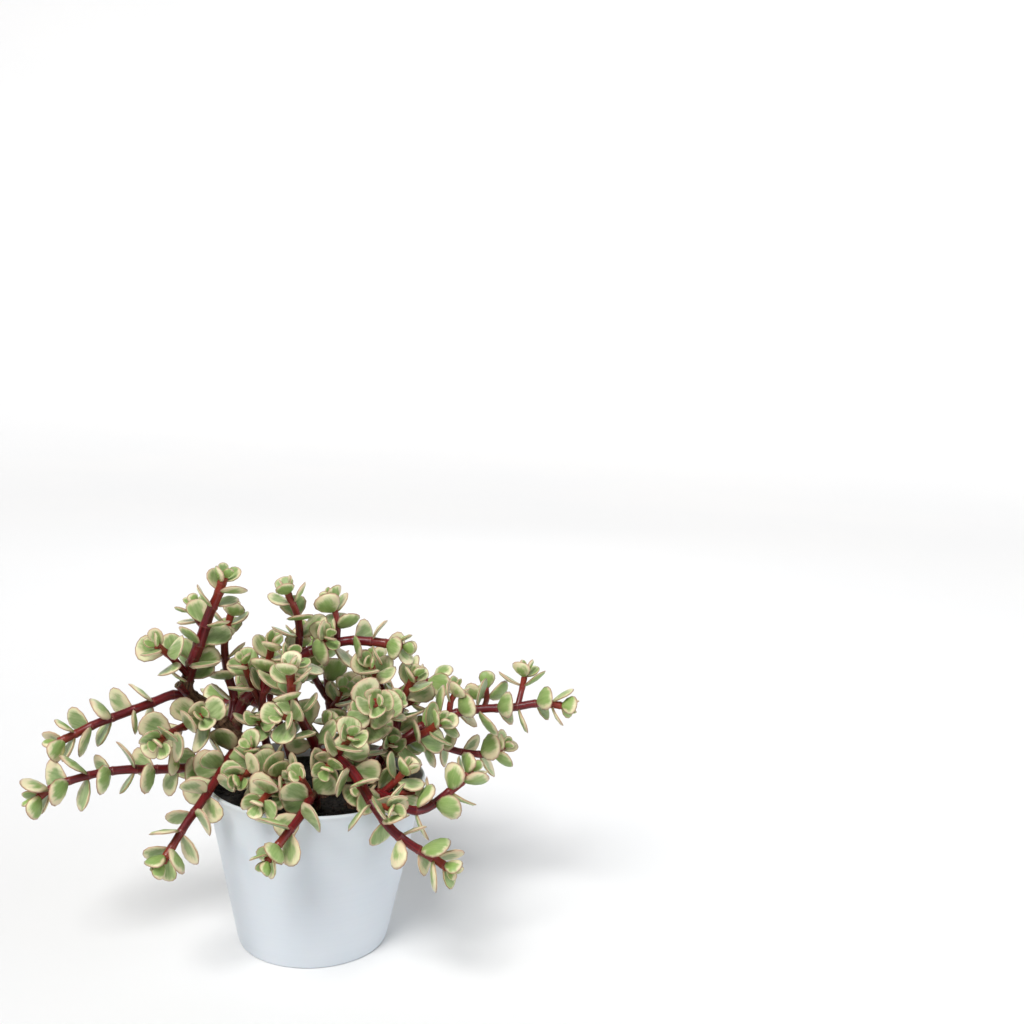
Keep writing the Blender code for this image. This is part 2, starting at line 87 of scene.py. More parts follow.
def camera_frame(place, yaw, pitch, roll):
    """A matrix whose third axis points backwards along the view and whose first leans by the roll."""
    ahead = Vector((math.sin(yaw) * math.cos(pitch), math.cos(yaw) * math.cos(pitch), -math.sin(pitch)))
    level = Vector((math.cos(yaw), -math.sin(yaw), 0))
    upright = level.cross(ahead)
    right = level * math.cos(roll) + upright * math.sin(roll)
    up = upright * math.cos(roll) - level * math.sin(roll)
    matrix = Matrix((right, up, -ahead)).transposed().to_4x4()
    matrix.translation = place
    return matrix


camera = bpy.data.objects.new("camera", bpy.data.cameras.new("camera"))
camera.data.lens = LENS
camera.matrix_world = camera_frame(CAMERA_PLACE, CAMERA_YAW, CAMERA_PITCH, CAMERA_ROLL)
bpy.context.collection.objects.link(camera)
bpy.context.scene.camera = camera
print("camera at", tuple(round(v, 3) for v in CAMERA_PLACE))

# %% [markdown]
# ## From arrays to a mesh
#
# Every surface that shows is a formula on a grid, held in numpy arrays. One helper joins a grid of points
# into quads by index arithmetic, another closes a ring to a pole, a third repeats the faces of a small
# shape. A fourth turns points and faces into a mesh object, with any values that vary over the surface,
# which the materials read. So no vertex that shows is handled alone. The last one dresses a piece.

# %% Mesh helpers


def grid_quads(rows, columns):
    """Quads between neighbours on a grid numbered row by row, with the last column joined to the first."""
    row, column = np.meshgrid(np.arange(rows - 1), np.arange(columns), indexing="ij")
    here, after = row * columns + column, row * columns + (column + 1) % columns
    return np.stack([here, after, after + columns, here + columns], axis=-1).reshape(-1, 4)


def fans(rim, pole, turned=False):
    """Triangles from a ring of point numbers to one pole."""
    after = np.roll(rim, -1, axis=-1)
    pair = (after, rim) if turned else (rim, after)
    return np.stack([*pair, np.broadcast_to(pole, rim.shape)], axis=-1).reshape(-1, 3)


def copies_of(faces, count, points_each):
    """The faces of one small shape, repeated for many of them whose points follow each other."""
    step = (np.arange(count) * points_each)[:, None, None]
    return [(part[None] + step).reshape(-1, part.shape[1]) for part in faces]


def piece_from(name, points, faces, values=None):
    """A smooth object at the origin, from an array of points, a list of face arrays and named values."""
    mesh = bpy.data.meshes.new(name)
    mesh.from_pydata(points.tolist(), [], [face for part in faces for face in part.tolist()])
    for key, value in (values or {}).items():
        kind, slot = ("FLOAT", "value") if value.ndim == 1 else ("FLOAT_VECTOR", "vector")
        layer = mesh.attributes.new(key, kind, "POINT")
        layer.data.foreach_set(slot, value.astype(np.float32).ravel())
    mesh.update()
    mesh.shade_smooth()
    made = bpy.data.objects.new(name, mesh)
    bpy.context.collection.objects.link(made)
    return made


def wear(made, finish, slot_name, *nodes):
    """The piece gets its finish, rides on the part's one body and stands for the CAD nodes named."""
    made.data.materials.append(finish)
    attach(made, "root")
    if nodes:
        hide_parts(*nodes)
    return made


# %% [markdown]
# ## Effects that several finishes share
#
# Nothing that grows or is moulded has one even colour. Three small node groups give what the finishes
# have in common: a soft mottle, streaks along a direction, and a fine relief for the bump. Each is
# built once and used with its own values, as a maker would keep one brush for several jobs.

# %% Node helpers


def feed(tree, node, sockets):
    """Each named input of a node gets a plain value, or a link from another node's output."""
    for key, value in sockets.items():
        if isinstance(value, bpy.types.NodeSocket):
            tree.links.new(value, node.inputs[key])
        else:
            node.inputs[key].default_value = value


def add_node(tree, kind, sockets=None, **settings):
    """A shader node with its settings and what feeds it."""
    made = tree.nodes.new(kind)
    for key, value in settings.items():
        setattr(made, key, value)
    feed(tree, made, sockets or {})
    return made


def calc(tree, operation, *values):
    """The result of one sum on numbers."""
    return add_node(tree, "ShaderNodeMath", dict(enumerate(values)), operation=operation).outputs[0]


def vector_calc(tree, operation, *values):
    """The result of one sum on vectors."""
    made = add_node(tree, "ShaderNodeVectorMath", dict(enumerate(values)), operation=operation)
    return made.outputs[0]


def step_between(tree, value, low, high, out_low=0.0, out_high=1.0):
    """A smooth step of a value from one level to another."""
    sockets = {"Value": value, "From Min": low, "From Max": high, "To Min": out_low, "To Max": out_high}
    made = add_node(tree, "ShaderNodeMapRange", sockets, interpolation_type="SMOOTHSTEP")
    return made.outputs["Result"]


def mix_colour(tree, share, first, second):
    """Two colours mixed by a share."""
    sockets = {0: share, 6: first, 7: second}
    return add_node(tree, "ShaderNodeMix", sockets, data_type="RGBA").outputs[2]


def carried(tree, name, output="Fac"):
    """A value that the mesh carries under a name, as a number or as a vector."""
    return add_node(tree, "ShaderNodeAttribute", attribute_name=name).outputs[output]


def split(tree, vector):
    """The three numbers of a vector."""
    return add_node(tree, "ShaderNodeSeparateXYZ", {0: vector}).outputs


def group_of(name, ins, outs):
    """An empty node group with its sockets, and its input and output nodes."""
    tree = bpy.data.node_groups.new(name, "ShaderNodeTree")
    for key, (kind, value) in ins.items():
        socket = tree.interface.new_socket(key, in_out="INPUT", socket_type=kind)
        if value is not None:
            socket.default_value = value
    for key in outs:
        tree.interface.new_socket(key, in_out="OUTPUT", socket_type="NodeSocketFloat")
    return tree, tree.nodes.new("NodeGroupInput"), tree.nodes.new("NodeGroupOutput")


def use_group(tree, group, sockets):
    """One use of a node group in a material; its only output."""
    return add_node(tree, "ShaderNodeGroup", sockets, node_tree=group).outputs[0]


# %% Shared effects
NOISE_LEVELS = {"Low": ("NodeSocketFloat", 0.35), "High": ("NodeSocketFloat", 0.65)}


def noise_mask(tree, entry, end, sockets):
    """Noise, stretched in contrast between the group's two levels, as the group's mask."""
    noise = add_node(tree, "ShaderNodeTexNoise", sockets)
    mask = step_between(tree, noise.outputs[0], entry.outputs["Low"], entry.outputs["High"])
    tree.links.new(mask, end.inputs["Mask"])
    return tree


def mottle_group():
    """Cloudy patches from 0 to 1: noise whose patches have the size asked for."""
    ins = {"Place": ("NodeSocketVector", None), "Size": ("NodeSocketFloat", 0.01), **NOISE_LEVELS}
    tree, entry, end = group_of("soft mottle", ins, ["Mask"])
    scale = calc(tree, "DIVIDE", 1.0, entry.outputs["Size"])
    return noise_mask(tree, entry, end, {"Vector": entry.outputs["Place"], "Scale": scale, "Detail": 3.0})


def streak_group():
    """Streaks from 0 to 1: noise on a place squeezed across, so that its patches draw out along the rest."""
    squeeze = ("NodeSocketVector", (8.0, 1.5, 1.0))
    ins = {"Place": ("NodeSocketVector", None), "Squeeze": squeeze, **NOISE_LEVELS}
    tree, entry, end = group_of("drawn streaks", ins, ["Mask"])
    place = vector_calc(tree, "MULTIPLY", entry.outputs["Place"], entry.outputs["Squeeze"])
    return noise_mask(tree, entry, end, {"Vector": place, "Scale": 1.0, "Detail": 4.0, "Roughness": 0.6})


FINER = 3.7
COARSE_SHARE, FINE_SHARE = 0.6, 0.4


def relief_group():
    """A fine relief from 0 to 1: large and small noise added, for the height of a bump."""
    ins = {"Place": ("NodeSocketVector", None), "Grain": ("NodeSocketFloat", 0.001)}
    tree, entry, end = group_of("fine relief", ins, ["Height"])
    scale = calc(tree, "DIVIDE", 1.0, entry.outputs["Grain"])
    sockets = {"Vector": entry.outputs["Place"], "Scale": scale, "Detail": 2.0}
    coarse = add_node(tree, "ShaderNodeTexNoise", sockets)
    fine = add_node(tree, "ShaderNodeTexNoise", {**sockets, "Scale": calc(tree, "MULTIPLY", scale, FINER)})
    large = calc(tree, "MULTIPLY", coarse.outputs[0], COARSE_SHARE)
    height = calc(tree, "MULTIPLY_ADD", fine.outputs[0], FINE_SHARE, large)
    tree.links.new(height, end.inputs["Height"])
    return tree


MOTTLE, STREAKS, RELIEF = mottle_group(), streak_group(), relief_group()


def new_finish(name):
    """A material with its Principled shader and its object coordinates."""
    made = bpy.data.materials.new(name)
    made.use_nodes = True
    tree = made.node_tree
    return made, tree, tree.nodes["Principled BSDF"], add_node(tree, "ShaderNodeTexCoord").outputs["Object"]


def bump_into(tree, shader, height, depth, strength):
    """A bump of a depth in metres, from a height of 0 to 1, into the shader's normal."""
    made = add_node(tree, "ShaderNodeBump", {"Height": height, "Strength": strength, "Distance": depth})
    tree.links.new(made.outputs["Normal"], shader.inputs["Normal"])


print("node groups:", [group.name for group in (MOTTLE, STREAKS, RELIEF)])

# %% [markdown]
# ## The pot
#
# The real pot is thin moulded plastic: a straight taper, a lip about two millimetres deep that stands
# out a hair's breadth, a rounded rim and a softly rounded foot. A cylinder with a bevel could be
# bent into it, but a profile turned round the axis is exact: each rounded edge is an arc of known
# radius.

# %% Pot dimensions and profile
RIM_RADIUS = 60 * MM
BASE_RADIUS = 41 * MM
POT_HEIGHT = 92 * MM
WALL = 2.4 * MM
FLOOR = 3 * MM
FOOT_ROUND = 1.4 * MM
RIM_ROUND = WALL / 2 - 0.1 * MM
# The arcs' first and last angles in degrees, counted upwards from straight out
FOOT_ARC, RIM_ARC = (-88, -6), (8, 172)
LIP_HEIGHT = 2.4 * MM
LIP_STANDS = 0.28 * MM
LIP_EASE = 0.25 * MM
LIP_TOP = (0.05 * MM, 0.9 * MM)
UNDER_LIP = POT_HEIGHT - LIP_HEIGHT
WALL_FROM, WALL_TO = 2.2 * FOOT_ROUND, UNDER_LIP - 0.6 * MM
INNER_FROM, INNER_TO = POT_HEIGHT - 2 * WALL, FLOOR + 2 * MM
POT_AROUND = 192
# The number of points on each stretch of the profile, in the order in which it runs
UNDER_POINTS, FOOT_POINTS, WALL_POINTS, RIM_POINTS, INNER_POINTS, FLOOR_POINTS = 8, 7, 14, 9, 12, 7


def wall_radius(height, inset=0.0):
    """The pot's outer radius at a height, less an inset."""
    share = height / POT_HEIGHT
    return BASE_RADIUS + (RIM_RADIUS - BASE_RADIUS) * share - inset


def arc(middle, radius, start, end, steps):
    """Points on a part of a circle in the profile's plane, by cosine and sine of even angles."""
    turn = np.radians(np.linspace(start, end, steps))
    return np.stack([middle[0] + radius * np.cos(turn), middle[1] + radius * np.sin(turn)], axis=1)


def turned(name, profile, around):
    """A solid of revolution: radius times cosine and sine of the turn, with a pole at each end."""
    turn = np.linspace(0, 2 * np.pi, around, endpoint=False)
    ring = np.stack([np.cos(turn), np.sin(turn)], axis=1)
    middle = profile[1:-1]
    points = np.concatenate([middle[:, None, :1] * ring[None], np.broadcast_to(
        middle[:, None, 1:], (len(middle), around, 1))], axis=2).reshape(-1, 3)
    first, last = len(points), len(points) + 1
    poles = np.array([[0, 0, profile[0, 1]], [0, 0, profile[-1, 1]]])
    ends = np.arange(around), np.arange(around) + (len(middle) - 1) * around
    faces = [grid_quads(len(middle), around), fans(ends[0], first, turned=True), fans(ends[1], last)]
    return piece_from(name, np.vstack([points, poles]), faces)


def pot_profile():
    """From the middle of the base, round the foot, up the wall, over the lip and rim, and down inside."""
    reach = np.linspace(0, BASE_RADIUS - 1.8 * FOOT_ROUND, UNDER_POINTS)
    under = np.stack([reach, np.zeros(UNDER_POINTS)], axis=1)
    bottom = arc((BASE_RADIUS - FOOT_ROUND, FOOT_ROUND), FOOT_ROUND, *FOOT_ARC, FOOT_POINTS)
    heights = np.linspace(WALL_FROM, WALL_TO, WALL_POINTS)
    wall = np.stack([wall_radius(heights), heights], axis=1)
    lip = np.array([[wall_radius(UNDER_LIP), UNDER_LIP - LIP_EASE],
                    [wall_radius(UNDER_LIP) + 0.8 * LIP_STANDS - 0.1 * MM, UNDER_LIP],
                    [RIM_RADIUS - LIP_EASE, UNDER_LIP + 0.3 * MM],
                    [RIM_RADIUS - LIP_TOP[0], UNDER_LIP + LIP_TOP[1]]])
    top = arc((RIM_RADIUS - RIM_ROUND, POT_HEIGHT - RIM_ROUND), RIM_ROUND, *RIM_ARC, RIM_POINTS)
    inside = np.linspace(INNER_FROM, INNER_TO, INNER_POINTS)
    inner = np.stack([wall_radius(inside, WALL), inside], axis=1)
    reach = np.linspace(wall_radius(FLOOR, WALL) - 1 * MM, 0, FLOOR_POINTS)
    floor = np.stack([reach, np.full(FLOOR_POINTS, FLOOR)], axis=1)
    return np.vstack([under, bottom, wall, lip, top, inner, floor])


# %% [markdown]
# The plastic is white with a cool cast and a satin shine. Even plastic isn't one colour: the finish mixes
# three whites that lie close together, in clouds and along the faint level lines that a mould leaves,
# and a little light goes into it.

# %% Pot finish and piece
POT_SHADE = (0.600, 0.645, 0.695, 1)
POT_LIGHT = (0.625, 0.665, 0.710, 1)
POT_WORN = (0.54, 0.585, 0.635, 1)
POT_WEAR = 0.10
POT_ROUGHNESS = (0.36, 0.46)


def pot_finish():
    """Satin white plastic with a cool cast: cloudy differences of a few hundredths and faint mould lines."""
    made, tree, shader, place = new_finish("white pot plastic")
    cloud = use_group(tree, MOTTLE, {"Place": place, "Size": 0.05, "Low": 0.3, "High": 0.7})
    mould = {"Place": place, "Squeeze": (18.0, 18.0, 900.0), "Low": 0.4, "High": 0.62}
    drawn = use_group(tree, STREAKS, mould)
    base = mix_colour(tree, cloud, POT_SHADE, POT_LIGHT)
    worn = mix_colour(tree, calc(tree, "MULTIPLY", drawn, POT_WEAR), base, POT_WORN)
    feed(tree, shader, {"Base Color": worn, "Roughness": step_between(tree, cloud, 0, 1, *POT_ROUGHNESS),
                        "Subsurface Weight": 0.06, "Subsurface Scale": 0.004})
    fine = use_group(tree, RELIEF, {"Place": place, "Grain": 0.0011})
    bump_into(tree, shader, calc(tree, "MULTIPLY_ADD", drawn, 0.35, fine), depth=0.00003, strength=0.35)
    return made


pot = wear(turned("plant_pot", pot_profile(), POT_AROUND), pot_finish(), "white_pot", "pot")
print("pot:", len(pot.data.polygons), "faces")

# %% [markdown]
# ## The soil
#
# Potting soil is a dark, crumbly heap of bark, peat and grit. A flat disc would look like felt, so the
# top is a polar grid whose heights are sums of crossed waves of ever smaller length, and a few hundred
# loose crumbs lie on it. Each crumb is a ball whose radius swings with the angle.

# %% Soil surface
SEAT_GAP = 0.3 * MM
SOIL_LEVEL = 83 * MM
SOIL_RELIEF = 1.3 * MM
SOIL_DRAFT = 0.1 * MM
ROOT_DEPTH = 11 * MM
ROOT_COLLAR = 1.6 * SOIL_RELIEF
SOIL_AROUND, SOIL_ACROSS = 160, 64
RINGS_CLOSER = 0.9
EDGE_FADE = 3 * MM
# The lumps, as in the frame: the lengths of the broad and of the fine waves, and the share of each
BROAD_WAVES, FINE_WAVES = (9 * MM, 7 * MM), (4 * MM, 5 * MM)
BROAD_LUMPS, FINE_LUMPS = 0.6, 0.4
# The wave length and the height of each size of grit, in millimetres, and how its waves turn and bend
GRIT_WAVES = [(2.6, 0.42), (1.5, 0.30), (0.85, 0.2)]
GRIT_TURN, GRIT_TURN_STEP = 0.9, 2.1
GRIT_BEND, GRIT_BEND_LENGTH, GRIT_ACROSS = 0.8, 3.1, 1.13


def crumble(x, y):
    """The height of the soil's lumps, as in the frame: a broad and a fine pair of crossed waves."""
    broad = np.sin(x / BROAD_WAVES[0]) * np.cos(y / BROAD_WAVES[1])
    fine = np.sin((x + 2 * y) / FINE_WAVES[0]) * np.cos((y - 1.5 * x) / FINE_WAVES[1])
    return SOIL_RELIEF * (BROAD_LUMPS * broad + FINE_LUMPS * fine)


def grit(x, y):
    """Small lumps: products of waves in turned directions, each next one shorter and lower."""
    height = np.zeros_like(x)
    for octave, (length, depth) in enumerate(GRIT_WAVES):
        turn = GRIT_TURN + GRIT_TURN_STEP * octave
        along, across = x * math.cos(turn) + y * math.sin(turn), y * math.cos(turn) - x * math.sin(turn)
        bend = GRIT_BEND * np.sin(across / (GRIT_BEND_LENGTH * length * MM))
        waves = np.sin(along / (length * MM) + bend) * np.cos(across / (GRIT_ACROSS * length * MM) - bend)
        height += depth * MM * waves
    return height


def soil_piece():
    """A closed plug: a flat foot, a side that follows the pot's inside, and a lumpy top."""
    inset = WALL + SEAT_GAP
    foot = FLOOR + SEAT_GAP
    edge = wall_radius(SOIL_LEVEL, inset) - SOIL_DRAFT
    turn = np.linspace(0, 2 * np.pi, SOIL_AROUND, endpoint=False)
    reach = edge * np.linspace(1, 0.02, SOIL_ACROSS) ** RINGS_CLOSER
    x, y = reach[:, None] * np.cos(turn), reach[:, None] * np.sin(turn)
    fade = np.clip((edge - reach) / EDGE_FADE, 0, 1)[:, None]
    z = SOIL_LEVEL + fade * (crumble(x, y) + grit(x, y))
    top = np.stack([x, y, z], axis=-1)
    low = wall_radius(foot, inset) - SOIL_DRAFT
    base = np.stack([low * np.cos(turn), low * np.sin(turn), np.full(SOIL_AROUND, foot)], axis=-1)
    rows = np.concatenate([base[None], top]).reshape(-1, 3)
    poles = np.array([[0, 0, foot], [0, 0, z[-1].mean()]])
    last = np.arange(SOIL_AROUND) + SOIL_ACROSS * SOIL_AROUND
    faces = [grid_quads(SOIL_ACROSS + 1, SOIL_AROUND), fans(np.arange(SOIL_AROUND), len(rows), turned=True),
             fans(last, len(rows) + 1)]
    return piece_from("potting_soil", np.vstack([rows, poles]), faces)


# %% [markdown]
# Loose crumbs and bark chips lie on the top. One small ball, pushed in and out by waves, serves them all:
# each lump gets its own three sizes, its own waves, a lean and a turn, for all lumps in one array. The root
# bumps on the old stems use the same lumps.

# %% Loose crumbs
LUMP_RINGS, LUMP_AROUND = 6, 9
LUMP_WAVES, LUMP_SHIFT, LUMP_DENT = (1.2, 3.4), 6.28, 0.16
LUMP_LEAN = 0.7
CRUMBS = 620
CRUMB_SEED = 11
CRUMB_LEAST, CRUMB_MORE = 0.45, 1.25
CRUMB_SHAPE, CHIP_SHAPE = [[1.0, 0.85, 0.75]], [[2.1, 0.8, 0.42]]
CHIP_SHARE = 0.16
CRUMB_LIES = 0.35
CRUMB_EDGE = 2.2 * MM


def lump_cloud(name, middles, sizes, seed):
    """Many small lumps at once: unit balls on a grid, stretched, dented by waves and turned."""
    draw = np.random.default_rng(seed)
    up, turn = np.linspace(0, np.pi, LUMP_RINGS), np.linspace(0, 2 * np.pi, LUMP_AROUND, endpoint=False)
    ball = np.stack([np.sin(up)[1:-1, None] * np.cos(turn), np.sin(up)[1:-1, None] * np.sin(turn),
                     np.cos(up)[1:-1, None] * np.ones(LUMP_AROUND)], axis=-1).reshape(-1, 3)
    top = len(ball)
    ball = np.vstack([ball, [[0, 0, 1], [0, 0, -1]]])
    wave = draw.uniform(*LUMP_WAVES, (len(middles), 1, 3))
    shift = draw.uniform(0, LUMP_SHIFT, (len(middles), 1, 3))
    dent = 1 + LUMP_DENT * np.sin(ball[None] * wave * 2 + shift).sum(axis=2, keepdims=True)
    shapes = ball[None] * dent * sizes[:, None, :]
    quarter = draw.uniform(0, 2 * np.pi, len(middles))
    lean = draw.uniform(-LUMP_LEAN, LUMP_LEAN, len(middles))
    cos, sin = np.cos(quarter)[:, None], np.sin(quarter)[:, None]
    tip_cos, tip_sin = np.cos(lean)[:, None], np.sin(lean)[:, None]
    x, y, z = shapes[..., 0], shapes[..., 1], shapes[..., 2]
    x, z = x * tip_cos + z * tip_sin, z * tip_cos - x * tip_sin
    spun = np.stack([x * cos - y * sin, x * sin + y * cos, z], axis=-1)
    points = spun + middles[:, None, :]
    ring = np.arange(LUMP_AROUND)
    one = [grid_quads(LUMP_RINGS - 2, LUMP_AROUND)[:, ::-1], fans(ring, top),
           fans(ring + top - LUMP_AROUND, top + 1, turned=True)]
    tone = np.repeat(draw.uniform(0, 1, len(middles)), len(ball))
    return piece_from(name, points.reshape(-1, 3), copies_of(one, len(middles), len(ball)), {"tone": tone})


def crumbs_piece():
    """Loose crumbs and bark chips, spread evenly over the disc by the square root of an even draw."""
    draw = np.random.default_rng(CRUMB_SEED)
    edge = wall_radius(SOIL_LEVEL, WALL + SEAT_GAP) - CRUMB_EDGE
    reach, turn = edge * np.sqrt(draw.uniform(0, 1, CRUMBS)), draw.uniform(0, 2 * np.pi, CRUMBS)
    x, y = reach * np.cos(turn), reach * np.sin(turn)
    size = MM * (CRUMB_LEAST + CRUMB_MORE * draw.uniform(0, 1, (CRUMBS, 1)) ** 3)
    chip = draw.uniform(0, 1, CRUMBS) < CHIP_SHARE
    sizes = size * np.where(chip[:, None], CHIP_SHAPE, CRUMB_SHAPE)
    middles = np.stack([x, y, SOIL_LEVEL + crumble(x, y) + grit(x, y) + CRUMB_LIES * sizes[:, 2]], axis=1)
    return lump_cloud("soil_crumbs", middles, sizes, CRUMB_SEED + 1)


# %% [markdown]
# Damp soil is almost black, and paler where it has dried. The loose crumbs share its finish, and a few of
# them are reddish chips of bark: each crumb carries one number, and only the highest turn red.

# %% Soil finish and pieces
DAMP_SOIL = (0.0075, 0.0058, 0.005, 1)
DRY_SOIL = (0.026, 0.019, 0.015, 1)
BARK_CHIP = (0.055, 0.028, 0.017, 1)
CHIP_TONES = (0.84, 0.9)
SOIL_ROUGHNESS = 0.88


def soil_finish(name, by_crumb):
    """Near-black brown, paler where it is dry, with the odd reddish chip; rough, with a deep fine relief."""
    made, tree, shader, place = new_finish(name)
    dry = use_group(tree, MOTTLE, {"Place": place, "Size": 0.004, "Low": 0.45, "High": 0.72})
    dark = mix_colour(tree, dry, DAMP_SOIL, DRY_SOIL)
    if by_crumb:
        bark = step_between(tree, carried(tree, "tone"), *CHIP_TONES)
        dark = mix_colour(tree, bark, dark, BARK_CHIP)
    feed(tree, shader, {"Base Color": dark, "Roughness": SOIL_ROUGHNESS})
    fine = use_group(tree, RELIEF, {"Place": place, "Grain": 0.0007})
    bump_into(tree, shader, fine, depth=0.0004, strength=0.8)
    return made


soil = wear(soil_piece(), soil_finish("damp potting soil", False), "potting_soil", "soil")
crumbs = wear(crumbs_piece(), soil_finish("loose soil crumbs", True), "potting_soil")
print("soil:", len(soil.data.polygons), "faces; crumbs:", len(crumbs.data.polygons))

# %% [markdown]
# ## How the plant grows
#
# An elephant bush grows in pairs: two leaves face each other, the next pair stands a quarter turn
# further on, and towards the tip the pairs get smaller and closer. Each shoot follows a route of a few
# points, as read from the plant, and a smooth curve runs through them. Where a leaf would
# meet a neighbour it turns, tilts or stays smaller, as a real leaf that grows for the light does.
#
# The same rule with the same seeds shaped the frame's solids. It is repeated here step for step, with
# the same coarse leaf as the measure of what is clear, so every choice falls the same way.

# %% Driving dimensions of stems and leaves
# The stems' coarse rings and steps
TRUNK_SIDES = 8
STEM_SIDES = 6
TWIG_SIDES = 5
TRUNK_FROM_RADIUS = 4 * MM
STEM_FROM_RADIUS = 2.6 * MM
RING_STEP = 12 * MM
CURVE_STEP = 1.5 * MM
TIP_TAPER = 1.2 * MM

# The leaves grow in pairs. Gap, length and tilt are listed by pair from the tip; angles are in degrees
LEAF_GAPS = [1.2 * MM, 3 * MM, 5.5 * MM, 8.5 * MM, 10.5 * MM, 11.5 * MM]
LEAF_LENGTHS = [8 * MM, 12 * MM, 15 * MM, 16.5 * MM, 16.5 * MM, 16.5 * MM]
LEAF_TILTS = [22, 36, 48, 56, 60, 62]
GAP_CHANGE = (0.9, 1.12)
LENGTH_CHANGE = (0.86, 1.14)
TURN_CHANGE = 14
TILT_CHANGE = 9
ROLL_CHANGE = 16
LEAF_WIDTH = 0.92
LEAF_THICKNESS = 2.1 * MM
LEAF_CUP = 0.07
LEAF_ROOT = 0.3
LEAF_SPARE = 0.28 * MM
POT_SPARE = 1.5 * MM
SEED = 7

# A sprig is a short side shoot in the angle of a leaf
SPRIG_LENGTH = 15 * MM
SPRIG_RADIUS = 1.8 * MM
SPRIG_TRIES = 8
SPRIG_BARE = 5
SPRIG_TAPER = 0.85
SPRIG_FIRST = 0.35
SPRIG_ENDS = 0.6
SPRIG_BEND = (0.5, 0.2)
SPRIG_END = (0.85, 0.55)
STEM_SHARE = 0.8
RIM_ROOM = 2

# %% [markdown]
# Each shoot is a short list of points, read from the plant. A stem's first shoot starts in the
# soil, and the others leave it further up. The hidden back gets three more stems, so that the bush is
# whole from every side.

# %% The shoots
# stem: the object; route: points in millimetres, which start just over the soil on a stem's first shoot;
# base, tip: radii in millimetres; bare: the leafless length at the foot in millimetres;
# turn: the tip pair's turn in degrees; sprigs: the number of short side shoots
Shoot = namedtuple("Shoot", "stem route base tip bare turn sprigs")

